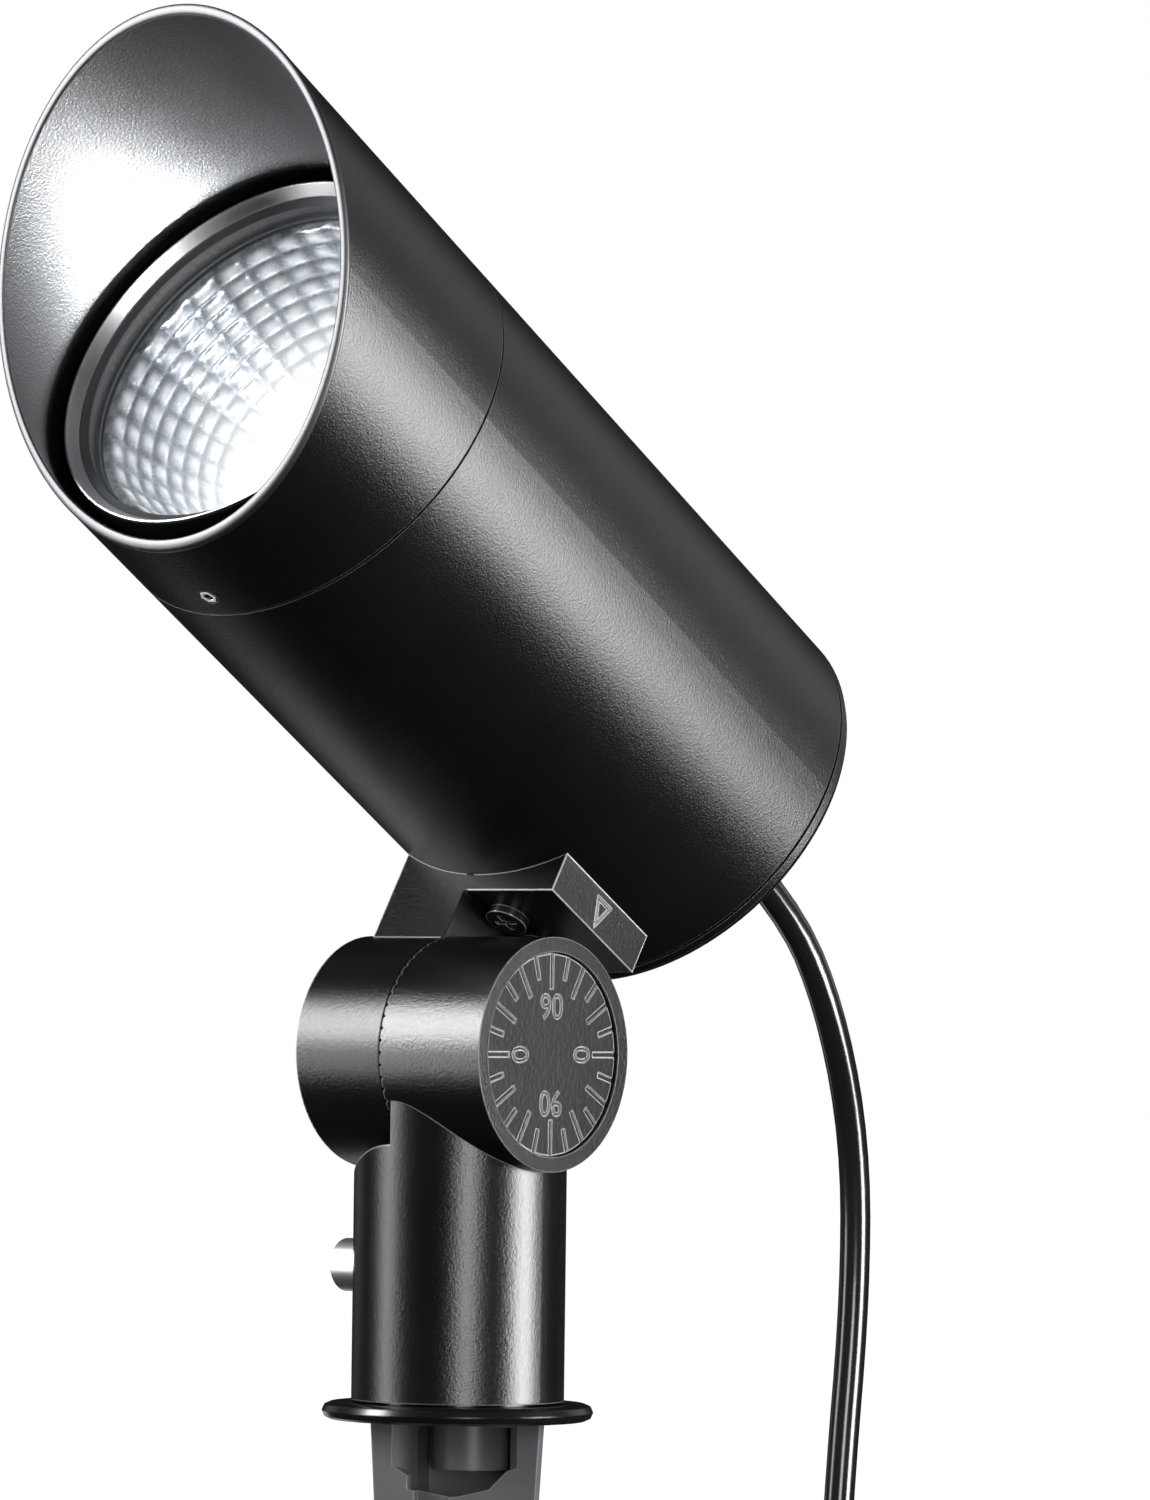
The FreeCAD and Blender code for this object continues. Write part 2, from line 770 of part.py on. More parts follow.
def make_stem():
    """Die-cast tube with the lower half of the knuckle and a recess for the dial."""
    height = size.hinge_height
    at = (0, float(height))
    tube = rod("tube", size.stem_radius, collar_top, height)
    ear_room = rod("ear_room", size.ear_clearance, -40.0, -0.4, "X", at)
    drum = rod("stem_drum", size.knuckle_radius, size.knuckle_seam, size.knuckle_half_length, "X", at)
    solid = joined("stem_solid", [less("tube", tube, [ear_room]), drum])
    face = size.knuckle_half_length
    recess = face - size.dial_recess - 2.2 - 0.1
    bore_top = height - size.knuckle_radius - 1.7
    tools = [
        rod("stem_bore", size.stem_radius - size.stem_wall, 0.0, bore_top),
        rod("pivot_bore", size.pivot_radius + RUNNING_FIT, -5.0, 10.0, "X", at),
        hexagon("nut_pocket", 13.1, 8.0, 30.0, "X", at),
        rod("dial_recess", size.dial_radius + 0.2, recess, face + 1, "X", at),
        rod("button_hole", size.button_radius + SLIP_FIT, -30.0, -10.0, "X",
            (0, float(size.button_height))),
        feature("notches", tooth_cutter()),
    ]
    node("stem", less("stem", solid, tools))


DIAL_TICKS = 24


def make_dial():
    """Degree plate: a disc with a long tick every 30 degrees and a short one between."""
    outer_face = size.knuckle_half_length - size.dial_recess
    at = (0, float(size.hinge_height))
    disc = rod("disc", size.dial_radius, outer_face - 2.2, outer_face, "X", at)
    peg = rod("peg", 6.0, outer_face - 5.6, outer_face - 2.0, "X", at)
    ticks = []
    radius = float(size.dial_radius)
    for index in range(DIAL_TICKS):
        inner = radius * (0.645 if index % 2 == 0 else 0.76)
        bar = Part.makeBox(2.0, 1.1, radius - inner + 1, Vector(float(outer_face) - 0.4, -0.55, inner))
        end = Part.makeCylinder(0.55, 2.0, Vector(float(outer_face) - 0.4, 0, inner), Vector(1, 0, 0))
        tick = bar.fuse(end)
        tick.rotate(Vector(0, 0, 0), Vector(1, 0, 0), 360.0 * index / DIAL_TICKS)
        ticks.append(tick)
    marks = Part.makeCompound(ticks)
    marks.translate(Vector(0, 0, float(size.hinge_height)))
    node("dial_cap", less("dial", joined("dial", [disc, peg]), [feature("ticks", marks)]))


def tube(name, route, radius):
    """Straight runs joined by arcs tangent to both, swept with a round section."""
    count = len(route)
    edges = []
    here = route[0]
    smallest = None
    for i in range(1, count - 1):
        before = route[i] - route[i - 1]
        after = route[i + 1] - route[i]
        shorter = min(before.Length, after.Length)
        trim = 0.45 * shorter
        half_turn = before.getAngle(after) / 2
        bend = trim / math.tan(half_turn)
        smallest = bend if smallest is None else min(smallest, bend)
        before = before.normalize()
        after = after.normalize()
        enter = route[i] - before * trim
        leave = route[i] + after * trim
        inward = (after - before).normalize()
        centre = route[i] + inward * (bend / math.cos(half_turn))
        middle = centre - inward * bend
        edges.append(Part.LineSegment(here, enter).toShape())
        edges.append(Part.Arc(enter, middle, leave).toShape())
        here = leave
    edges.append(Part.LineSegment(here, route[-1]).toShape())
    path = Part.Wire(edges)
    start = Part.Wire(Part.makeCircle(radius, route[0], route[1] - route[0]))
    solid = path.makePipeShell([start], True, False)
    wanted = math.pi * radius**2 * path.Length
    print(f"{name}: length {path.Length:.1f}, smallest radius {smallest:.1f}, "
          f"volume {solid.Volume:.0f} of {wanted:.0f}")
    if abs(solid.Volume - wanted) > 0.02 * wanted:
        raise SystemExit(f"{name} is not a whole tube")
    return solid, path.Length


chamber_end = -3.2
shoulder_front = -(float(size.stem_radius - size.stem_wall) - 1.5)
shoulder_back = shoulder_front + 2.0


def make_snap_button():
    """Steel button that pops through the stem, and the spring behind it."""
    at = (0, float(size.button_height))
    tip = -(size.stem_radius + size.button_reach)
    crown = rod("crown", size.button_radius, tip, shoulder_front, "X", at)
    shoulder = rod("shoulder", 6.4, shoulder_front, shoulder_back, "X", at)
    tail = rod("tail", 2.5, shoulder_back, -10.0, "X", at)
    node("snap_button", joined("button", [crown, shoulder, tail]))
    wire = 0.45
    turns = 4.5
    per_turn = 12
    steps = int(turns * per_turn)
    length = float(chamber_end - shoulder_back) - 2 * wire - 0.1
    route = []
    for index in range(steps + 1):
        x, y = polar(3.6, 360 * index / per_turn)
        route.append(Vector(x, y, length * index / steps))
    solid, _ = tube("snap_spring", route, wire)
    spring = feature("spring", solid)
    place = Placement(
        Vector(float(shoulder_back) + wire + 0.05, 0, float(size.button_height)), AIM["X"]
    )
    node("snap_spring", spring, place)


boss_drop = 10.3
boss_back = 10.7
stake_turn = 25.0
post_radius = 7.4
post_top = 20.0
screw_top = 21.0


def make_collar():
    """Glossy collar: flange on the ground, spigot up into the stem."""
    edge = size.collar_thickness / 2
    spigot = size.stem_radius - size.stem_wall - SLIP_FIT
    body = turned(
        "collar",
        [
            (0.0, 0.0),
            (size.collar_radius - edge, 0.0),
            (size.collar_radius - edge * 0.3, edge * 0.3),
            (size.collar_radius, edge),
            (size.collar_radius - edge * 0.3, edge * 1.7),
            (size.collar_radius - edge, edge * 2),
            (spigot, size.collar_thickness),
            (spigot, size.button_height + 14.0),
            (spigot - 2.0, size.button_height + 16.0),
            (0.0, size.button_height + 16.0),
        ],
    )
    screw_bore = rod("screw_bore", 2.4, -1.0, screw_top + 1.0, at=polar(boss_back, 90 + stake_turn))
    tools = [
        rod("post_bore", post_radius + SLIP_FIT, -1.0, post_top + 0.5),
        screw_bore,
        rod("chamber", 6.7, -25.0, chamber_end, "X", (0, float(size.button_height))),
    ]
    node("stake_collar", less("collar", body, tools))


def make_ground_stake():
    """Moulded stake: tapered plate with a window, two walls behind it, a screw boss and a fin."""
    half = size.stake_half_width
    web = size.stake_web
    length = size.stake_length
    shoulder = length - 45.0
    tip = 1.0
    wing = padded("wing", "XZ_Plane", [
        (-half, 0.0), (-half * 0.62, -shoulder), (-tip, -length),
        (tip, -length), (half * 0.62, -shoulder), (half, 0.0),
    ], web, both_ways=True)
    window = padded("window", "XZ_Plane", [
        (-12.85, 1.0), (-12.85, -9.3), (-9.75, -11.3), (-9.75, -14.0), (-1.0, -15.6),
        (0.4, -15.3), (7.1, -13.7), (10.8, -9.9), (12.85, -9.3), (12.85, 1.0),
    ], web * 2, both_ways=True)
    fin_half = half * 0.46
    fin = padded("fin", "YZ_Plane", [
        (-0.4, -15.4), (-fin_half, -32.0), (-fin_half * 0.8, -shoulder), (-tip, -length),
        (tip, -length), (fin_half * 0.8, -shoulder), (fin_half, -32.0), (0.4, -15.4),
    ], 2.4, both_ways=True)
    channels = [
        block("channel", (-8.3, -1.2), (-web, 0.6), (-shoulder, -13.5)),
        block("channel", (1.2, 8.3), (-0.6, web), (-shoulder, -17.0)),
    ]
    walls = []
    for side in (-1, 1):
        outline = [(12.9, -1.0), (14.6, -0.6), (11.2, 6.0), (11.2, 15.0), (9.6, 15.0), (9.6, 5.4)]
        corners = [(side * x, y) for x, y in outline]
        walls.append(padded("wall", "XY_Plane", corners, 58.0, reversed_pad=True))
    top = block("top", (-11.2, 11.2), (-web / 2, 16.6), (-1.2, 0.0))
    back_web = block("back_web", (-11.2, 11.2), (14.9, 16.6), (-58.0, 0.0))
    at = (0, boss_back)
    boss = rod("stake_boss", size.boss_radius, -boss_drop, 0.0, at=at)
    post = rod("post", post_radius, -0.5, post_top)
    plate = less("wing", wing, [window] + channels)
    solid = joined("stake", [plate, fin, top, back_web, boss, post] + walls)
    step = -boss_drop + 4.3
    tools = [
        rod("screw_head_room", 4.4, -boss_drop - 1.0, step, at=at),
        rod("screw_hole", 2.5, step - 1.0, 1.0, at=at),
    ]
    place = Placement(Vector(0, 0, 0), Rotation(Vector(0, 0, 1), stake_turn))
    node("ground_stake", less("stake", solid, tools), place)
    head = rod("stake_screw_head", 4.1, step - 2.8, step, at=at)
    shank = rod("stake_screw_shank", 2.4, step, screw_top, at=at)
    cross = [
        block("cross", (-2.4, 2.4), (boss_back - 0.5, boss_back + 0.5), (step - 4.0, step - 1.4)),
        block("cross", (-0.5, 0.5), (boss_back - 2.4, boss_back + 2.4), (step - 4.0, step - 1.4)),
    ]
    screw = less("stake_screw", joined("stake_screw", [head, shank]), cross)
    node("stake_screw", screw, place)


# The cord. Its floor is the level of the stake's tip.
floor = -size.stake_length
cord_radius = size.cord_diameter / 2
cord_on_floor = float(floor + cord_radius)
coil_centre = (-14.0, 76.0)
coil_layers = 2
coil_east = coil_centre[0] + float(size.coil_radius)
plug_axis_height = float(floor + size.plug_depth / 2)

lead_start = gland_place().multVec(Vector(0, 0, float(relief_end) - CORD_CLEARANCE))
LEAD_ROUTE = [
    lead_start,
    Vector(0.0, 106.2, 104.2),
    Vector(1.6, 119.2, 83.2),
    Vector(-0.8, 131.9, 54.2),
    Vector(-3.4, 135.7, 21.2),
    Vector(-5.3, 133.8, -15.8),
    Vector(-6.4, 132.4, -52.0),
    Vector(-3.0, 130.5, -86.0),
    Vector(7.0, 124.5, -115.0),
    Vector(19.5, 110.5, -138.5),
    Vector(28.0, 94.0, -151.5),
    Vector(30.0, 76.0, -156.75),
]
TAIL_ROUTE = [
    Vector(30.0, 76.0, -150.25),
    Vector(30.6, 62.0, -150.2),
    Vector(30.4, 47.0, -149.0),
    Vector(30.0, 32.0, -148.0),
]


def make_cord():
    """The lead from the gland to the coil, the coil's outer shape, its tie and the tail."""
    lead, lead_length = tube("cord_lead", LEAD_ROUTE, float(cord_radius))
    node("cord_lead", feature("lead", lead))
    tail, tail_length = tube("cord_tail", TAIL_ROUTE, float(cord_radius))
    node("cord_tail", feature("tail", tail))
    inner = size.coil_radius - size.coil_rings * size.cord_diameter - cord_radius
    outer = size.coil_radius + cord_radius
    top = floor + coil_layers * size.cord_diameter
    edge = cord_radius * 0.5
    ring = turned(
        "coil",
        [
            (inner, floor + edge),
            (inner + edge, floor),
            (outer - edge, floor),
            (outer, floor + edge),
            (outer, top - edge),
            (outer - edge, top),
            (inner + edge, top),
            (inner, top - edge),
        ],
    )
    place = Placement(Vector(coil_centre[0], coil_centre[1], 0), Rotation())
    node("cord_coil", ring, place)
    turns = coil_layers * float(size.coil_rings) + 0.5
    mean = float(size.coil_radius) - float(size.coil_rings * size.cord_diameter) / 2
    whole = lead_length + tail_length + turns * 2 * math.pi * mean
    print(f"whole cord about {whole:.0f} mm")
    tie = less(
        "tie",
        block("tie_band", (inner - 0.9, outer + 0.9), (-2.5, 2.5), (floor, top + 0.9)),
        [block("tie_room", (inner, outer), (-3.0, 3.0), (floor + 0.7, top))],
    )
    place = Placement(
        Vector(coil_centre[0], coil_centre[1], 0), Rotation(Vector(0, 0, 1), 215)
    )
    node("coil_tie", tie, place)


def make_plug():
    """Three-pin moulded plug lying on the floor beside the stake, its pins towards -Y."""
    relief_far = TAIL_ROUTE[-1].y
    back_face = relief_far - float(size.plug_relief_length)
    half = size.plug_width / 2
    deep = size.plug_depth / 2
    length = size.plug_length
    place = Placement(
        Vector(coil_east, back_face, plug_axis_height), Rotation(Vector(1, 0, 0), 90)
    )
    # Local frame: z towards the pins, x across the blades, y down from the earth pin.
    plan = padded("plan", "XZ_Plane", [
        (-8.4, 0.0), (-7.7, 5.5), (-9.4, 12.5), (-half, 18.8), (-half, length - 1.0),
        (-half + 1.0, length), (half - 1.0, length), (half, length - 1.0), (half, 18.8),
        (9.4, 12.5), (7.7, 5.5), (8.4, 0.0),
    ], size.plug_depth + 4, both_ways=True)
    side = padded("side", "YZ_Plane", [
        (-7.5, 0.0), (-7.2, 8.0), (-deep, 18.0), (-deep, length - 1.0), (-deep + 1.0, length),
        (deep - 1.0, length), (deep, length - 1.0), (deep, 18.0), (7.2, 8.0), (7.5, 0.0),
    ], size.plug_width + 4, both_ways=True)
    node("plug_body", shared("plug", plan, side), place)
    relief = turned("plug_relief", [
        (0.0, -size.plug_relief_length), (6.0, -size.plug_relief_length), (6.7, 0.0), (0.0, 0.0),
    ])
    slots = []
    for index in range(4):
        z = -5.0 - 3.6 * index
        for side_x in ((-8.0, -2.6), (2.6, 8.0)):
            slots.append(block("relief_slot", side_x, (-8.0, 8.0), (z - 0.75, z + 0.75)))
    core = rod("relief_core", 4.4, -size.plug_relief_length, 0.0)
    node("plug_relief", joined("relief_whole", [less("relief", relief, slots), core]), place)
    thick, broad = MAINS_BLADE
    blades = []
    drop = MAINS_PIN_DROP / 2
    for x in (-MAINS_BLADE_SPACING / 2, MAINS_BLADE_SPACING / 2):
        blades.append(block(
            "blade", (x - thick / 2, x + thick / 2), (-drop - broad / 2, -drop + broad / 2),
            (length, length + size.blade_length),
        ))
    node("plug_blades", group("blades", blades), place)
    pin = turned("earth_pin", [
        (0.0, length),
        (size.ground_pin_radius, length),
        (size.ground_pin_radius, length + size.ground_pin_length - 1.6),
        (size.ground_pin_radius - 1.4, length + size.ground_pin_length),
        (0.0, length + size.ground_pin_length),
    ])
    pin_place = place * Placement(Vector(0, drop, 0), Rotation())
    node("plug_ground_pin", pin, pin_place)


def make_inner_leads():
    """Insulated wires from the gland to the driver and from the driver to the chip's board."""
    gland_y = float(size.gland_offset)
    wires = []
    for x, lift in ((-2.0, 0.0), (2.0, 0.0), (0.0, 1.9)):
        start = Vector(x, gland_y + lift, float(back) + 8.2)
        bend = Vector(x + 1.0, gland_y + lift + 1.0, float(back) + 20.0)
        rise = Vector(x + 2.0, 4.0 + lift, 8.0)
        drop = Vector(x + 2.0, 1.0 + lift, 16.0)
        solid, _ = tube("inner_lead", [start, bend, rise, drop], 0.8)
        wires.append(feature("supply_wire", solid))
    node("supply_leads", group("supply_leads", wires), head_frame)
    pair = []
    seat = float(size.spreader_seat)
    stop = driver_start + float(size.driver_length)
    for x in (-1.2, 1.2):
        route = [
            Vector(x, -7.0, stop - 9.5), Vector(x, -7.2, stop + 0.8), Vector(x, -11.0, stop + 4.0),
            Vector(x, -17.0, stop + 4.2), Vector(x, -19.9, seat - 3.5), Vector(x, -20.1, seat + 3.4),
        ]
        solid, _ = tube("lamp_lead", route, 0.8)
        pair.append(feature("lamp_wire", solid))
    node("lamp_leads", group("lamp_leads", pair), head_frame)


def check_and_export():
    """Stops on any failed object, then writes each sub-part."""
    document.recompute()
    for thing in document.Objects:
        if "Invalid" in thing.State or "Error" in thing.State:
            raise SystemExit(f"{thing.Label} failed: {thing.State}")
    os.makedirs("parts", exist_ok=True)
    for label, thing in nodes.items():
        shape = thing.Shape
        if shape.isNull() or not shape.isValid() or not shape.Solids:
            raise SystemExit(f"{label} has no valid solid")
        shape.exportStep(f"parts/{label}.step")
    print(f"{len(nodes)} sub-parts written")


make_head_housing()
make_glare_shroud()
make_shroud_lock_screw()
make_lens_stack()
make_reflector()
make_light_engine()
make_driver()
make_rear_cap()
make_cable_gland()
make_knuckle_bracket()
make_pivot()
make_stem()
make_dial()
make_snap_button()
make_collar()
make_ground_stake()
make_cord()
make_plug()
make_inner_leads()
check_and_export()
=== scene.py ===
# %% [markdown]
# # A garden spotlight on a stake
# The metal and plastic shapes come ready from the CAD frame. This lesson gives them their look:
# powder coat, polished steel, glass, a faceted reflector, a lit lamp and a rubber cord.
# Blender works in metres, so a length in millimetres is multiplied by MM. +Z is up, and the beam
# leaves towards -Y and upwards.

import json
import math

import bmesh
import bpy
from mathutils import Matrix, Vector

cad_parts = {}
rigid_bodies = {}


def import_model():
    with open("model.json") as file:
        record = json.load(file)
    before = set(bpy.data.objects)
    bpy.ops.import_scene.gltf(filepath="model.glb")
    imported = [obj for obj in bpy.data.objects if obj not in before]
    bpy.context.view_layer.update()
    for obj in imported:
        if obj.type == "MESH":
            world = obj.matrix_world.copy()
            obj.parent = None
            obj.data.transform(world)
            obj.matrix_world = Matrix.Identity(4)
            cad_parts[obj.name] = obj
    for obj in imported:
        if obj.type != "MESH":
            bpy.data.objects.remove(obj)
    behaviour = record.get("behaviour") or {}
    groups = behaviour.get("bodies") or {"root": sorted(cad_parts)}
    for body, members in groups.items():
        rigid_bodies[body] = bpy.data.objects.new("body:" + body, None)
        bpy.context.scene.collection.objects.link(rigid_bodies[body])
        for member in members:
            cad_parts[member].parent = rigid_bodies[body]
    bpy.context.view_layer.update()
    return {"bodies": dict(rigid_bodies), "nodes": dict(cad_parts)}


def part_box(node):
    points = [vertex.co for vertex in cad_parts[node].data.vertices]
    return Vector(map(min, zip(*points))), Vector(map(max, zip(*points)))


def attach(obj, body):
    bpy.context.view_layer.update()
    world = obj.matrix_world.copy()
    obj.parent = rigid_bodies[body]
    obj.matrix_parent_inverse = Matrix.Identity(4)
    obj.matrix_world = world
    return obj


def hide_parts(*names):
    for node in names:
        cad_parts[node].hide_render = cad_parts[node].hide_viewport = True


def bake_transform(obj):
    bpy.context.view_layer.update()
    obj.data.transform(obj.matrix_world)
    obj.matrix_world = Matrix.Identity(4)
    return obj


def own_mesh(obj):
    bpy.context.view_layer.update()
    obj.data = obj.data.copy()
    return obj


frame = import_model()

# %% [markdown]
# The head has its own axis, tilted up from level. One matrix takes shapes drawn around a plain
# vertical axis to where the head really is, so every round piece of the head can be drawn upright:
# x across, y away from the hinge, z forwards along the beam.

# %% The head's own frame
MM = 0.001
HINGE = Vector((0, 0, 73)) * MM
REST_TILT = math.radians(32)
AXIS_OFFSET = 77.8 * MM  # hinge to the middle of the head
hinge_frame = Matrix.Translation(HINGE) @ Matrix.Rotation(math.pi / 2 - REST_TILT, 4, "X")
head_frame = hinge_frame @ Matrix.Translation((0, AXIS_OFFSET, 0))
beam = (head_frame.to_3x3() @ Vector((0, 0, 1))).normalized()
print("beam", tuple(round(v, 3) for v in beam))

# %% [markdown]
# The camera stands a metre and a half away with a long lens, a little below the middle of the head,
# and looks slightly upwards. A long lens keeps the round parts from bulging.

# %% Camera
VIEW_AZIMUTH = math.radians(39.113)
VIEW_ELEVATION = math.radians(-1.907)
VIEW_ROLL = math.radians(0.714)
CAMERA_PLACE = Vector((999.3, -1194.5, 82.0)) * MM
back = Vector((
    math.sin(VIEW_AZIMUTH) * math.cos(VIEW_ELEVATION),
    -math.cos(VIEW_AZIMUTH) * math.cos(VIEW_ELEVATION),
    math.sin(VIEW_ELEVATION),
))
level = Vector((math.cos(VIEW_AZIMUTH), math.sin(VIEW_AZIMUTH), 0))
upright = back.cross(level)
right = level * math.cos(VIEW_ROLL) + upright * math.sin(VIEW_ROLL)
above = upright * math.cos(VIEW_ROLL) - level * math.sin(VIEW_ROLL)
lens = bpy.data.cameras.new("long_lens")
lens.lens = 187.0
lens.sensor_width = 36.0
lens.sensor_fit = "AUTO"
lens.clip_end = 30
camera = bpy.data.objects.new("camera", lens)
bpy.context.scene.collection.objects.link(camera)
turn = Matrix((right, above, back)).transposed().to_4x4()
camera.matrix_world = Matrix.Translation(CAMERA_PLACE) @ turn
bpy.context.scene.camera = camera
print("camera", tuple(round(v, 3) for v in camera.location))

# %% [markdown]
# The cord is one smooth NURBS line: out of the gland, down behind the stem, onto the floor, round
# the put-away coil and into the plug. The coil winds inwards on the floor, climbs half a turn and
# winds outwards on top of itself, so that both ends leave it from outside.

# %% The cord's route
CORD_THICK = 6.5
CORD_RADIUS = CORD_THICK / 2 * MM
FLOOR_LEVEL = -160.0
lead_points = [
    (0.0, 85.43, 117.25), (0.0, 106.2, 104.2), (1.6, 119.2, 83.2), (-0.8, 131.9, 54.2),
    (-3.4, 135.7, 21.2), (-5.3, 133.8, -15.8), (-6.4, 132.4, -52.0), (-3.0, 130.5, -86.0),
    (7.0, 124.5, -115.0), (19.5, 110.5, -138.5), (28.0, 94.0, -151.5),
]
tail_points = [(30.6, 62.0, -150.2), (30.4, 47.0, -149.0), (30.0, 32.0, -148.0)]
COIL_CENTRE = (-14.0, 76.0)
COIL_OUTER = 44.0
COIL_STEPS = 14
LAYER_TURNS = 2.25
CLIMB_TURNS = 0.5


def coil_points():
    """The turns: inwards below, half a turn of climb, outwards above."""
    total = 2 * LAYER_TURNS + CLIMB_TURNS
    count = int(total * COIL_STEPS)
    low = FLOOR_LEVEL + CORD_THICK / 2
    points = []
    for i in range(count + 1):
        done = total * i / count
        inward = min(done, LAYER_TURNS) - max(0.0, done - LAYER_TURNS - CLIMB_TURNS)
        radius = COIL_OUTER - CORD_THICK * inward
        climb = min(1.0, max(0.0, (done - LAYER_TURNS) / CLIMB_TURNS))
        angle = -2 * math.pi * done
        points.append((
            COIL_CENTRE[0] + radius * math.cos(angle),
            COIL_CENTRE[1] + radius * math.sin(angle),
            low + CORD_THICK * climb,
        ))
    return points


route = [Vector(p) * MM for p in lead_points + coil_points() + tail_points]
print("route points", len(route))

# %% [markdown]
# Curves and Geometry Nodes are live: what they show is worked out anew each time. Three helpers
# serve the whole lesson. One draws a smooth curve, one freezes what an object shows as a plain mesh,
# and one adds a finished mesh to the lamp and says which part of it it rides on.

# %% Curves, frozen meshes and pieces
def nurbs(name, points, radius):
    """A curve that is pulled towards its points and is as thick as the radius says."""
    curve = bpy.data.curves.new(name, "CURVE")
    curve.dimensions = "3D"
    curve.resolution_u = 5
    curve.bevel_depth = radius
    curve.bevel_resolution = 4
    curve.use_fill_caps = True
    spline = curve.splines.new("NURBS")
    spline.points.add(len(points) - 1)
    for point, place in zip(spline.points, points):
        point.co = (*place, 1.0)
    spline.order_u = 3
    spline.use_endpoint_u = True
    return bpy.data.objects.new(name, curve)


def evaluated(thing, name):
    """A plain mesh of what an object shows, at the origin."""
    bpy.context.scene.collection.objects.link(thing)
    bpy.context.view_layer.update()
    graph = bpy.context.evaluated_depsgraph_get()
    mesh = bpy.data.meshes.new_from_object(thing.evaluated_get(graph))
    mesh.name = name
    bpy.data.objects.remove(thing)
    return mesh


def add_piece(name, mesh, body, *replaced):
    """A finished mesh as a piece that rides on a body and stands for CAD nodes."""
    piece = bpy.data.objects.new(name, mesh)
    bpy.context.scene.collection.objects.link(piece)
    if body:
        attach(piece, body)
    if replaced:
        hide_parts(*replaced)
    return piece


print("helpers: nurbs, evaluated, add_piece")

# %% [markdown]
# The spline has its route points as control points, so it rounds every corner by itself. It is
# evaluated twice: once bare, for the line that the cord is measured along, and once with a round
# bevel, for the rubber jacket.

# %% Cord line and jacket
line = evaluated(nurbs("cord_line", route, 0.0), "cord_line")
cord_path = [v.co.copy() for v in line.vertices]
cord_length = sum((b - a).length for a, b in zip(cord_path, cord_path[1:]))
jacket = evaluated(nurbs("cord_jacket", route, CORD_RADIUS), "power_cord")
jacket.polygons.foreach_set("use_smooth", [True] * len(jacket.polygons))
cord = add_piece("power_cord", jacket, None, "cord_lead", "cord_coil", "cord_tail")
print("cord", round(cord_length, 3), "m,", len(jacket.polygons), "faces")

# %% [markdown]
# Materials share a few effects. Each effect is a node group with named inputs, built once and used
# with other values in each material. The groups give heights and masks only. The shader and the
# edge highlight stay in each material.

# %% Helpers for effects
def effect_group(name, inputs, outputs):
    """An empty effect with its named sockets, and the place on the object to work from."""
    group = bpy.data.node_groups.new(name, "ShaderNodeTree")
    for title, value in inputs.items():
        socket = group.interface.new_socket(title, in_out="INPUT", socket_type="NodeSocketFloat")
        socket.default_value = value
    for title in outputs:
        group.interface.new_socket(title, in_out="OUTPUT", socket_type="NodeSocketFloat")
    entry = group.nodes.new("NodeGroupInput")
    leave = group.nodes.new("NodeGroupOutput")
    place = group.nodes.new("ShaderNodeTexCoord")
    return group, entry, leave, place.outputs["Object"]


def maths(tree, kind, first, second=0.0):
    """A Math node on two numbers or sockets. It serves shader and geometry trees alike."""
    node = tree.nodes.new("ShaderNodeMath")
    node.operation = kind
    for slot, value in zip(node.inputs, (first, second)):
        if isinstance(value, (int, float)):
            slot.default_value = value
        else:
            tree.links.new(value, slot)
    return node.outputs[0]


def noise(tree, place, scale, detail=2.0, rough=0.5):
    """Smooth noise around 0.5. Its scale is a number or a socket."""
    node = tree.nodes.new("ShaderNodeTexNoise")
    tree.links.new(place, node.inputs["Vector"])
    if isinstance(scale, (int, float)):
        node.inputs["Scale"].default_value = scale
    else:
        tree.links.new(scale, node.inputs["Scale"])
    node.inputs["Detail"].default_value = detail
    node.inputs["Roughness"].default_value = rough
    return node.outputs["Fac"]


print("helpers: effect_group, maths, noise")

# %% [markdown]
# Powder coat and moulded plastic aren't quite smooth. Fine noise gives the swells of the coat, and
# a cell pattern between them gives its pits. A second output marks the few highest spots as specks.

# %% Skin grain
SPECK_HEIGHT = 0.68
grain, entry, leave, place = effect_group(
    "skin_grain", {"Scale": 2400.0, "Pits": 0.4}, ("Height", "Speck"))
fine = noise(grain, place, entry.outputs["Scale"], 3.0, 0.6)
cells = grain.nodes.new("ShaderNodeTexVoronoi")
grain.links.new(place, cells.inputs["Vector"])
grain.links.new(maths(grain, "MULTIPLY", entry.outputs["Scale"], 0.55), cells.inputs["Scale"])
pits = maths(grain, "MULTIPLY", cells.outputs["Distance"], entry.outputs["Pits"])
grain.links.new(maths(grain, "ADD", fine, pits), leave.inputs["Height"])
grain.links.new(maths(grain, "GREATER_THAN", fine, SPECK_HEIGHT), leave.inputs["Speck"])
print("skin grain", len(grain.nodes), "nodes")

# %% [markdown]
# Hands, dust and the spray gun leave slow clouds in any finish. The mask is noise that is stretched
# away from its middle value, so that each material can say how strongly the clouds show.

# %% Handling marks
marks, entry, leave, place = effect_group("handling_marks", {"Scale": 22.0, "Contrast": 1.0}, ("Mask",))
cloud = noise(marks, place, entry.outputs["Scale"], 6.0, 0.65)
spread = maths(marks, "MULTIPLY", maths(marks, "SUBTRACT", cloud, 0.5), entry.outputs["Contrast"])
marks.links.new(maths(marks, "ADD", spread, 0.5), leave.inputs["Mask"])
print("handling marks", len(marks.nodes), "nodes")

# %% [markdown]
# A lathe leaves fine lines. Noise that is stretched far in two directions and left alone in the
# third turns into such lines.

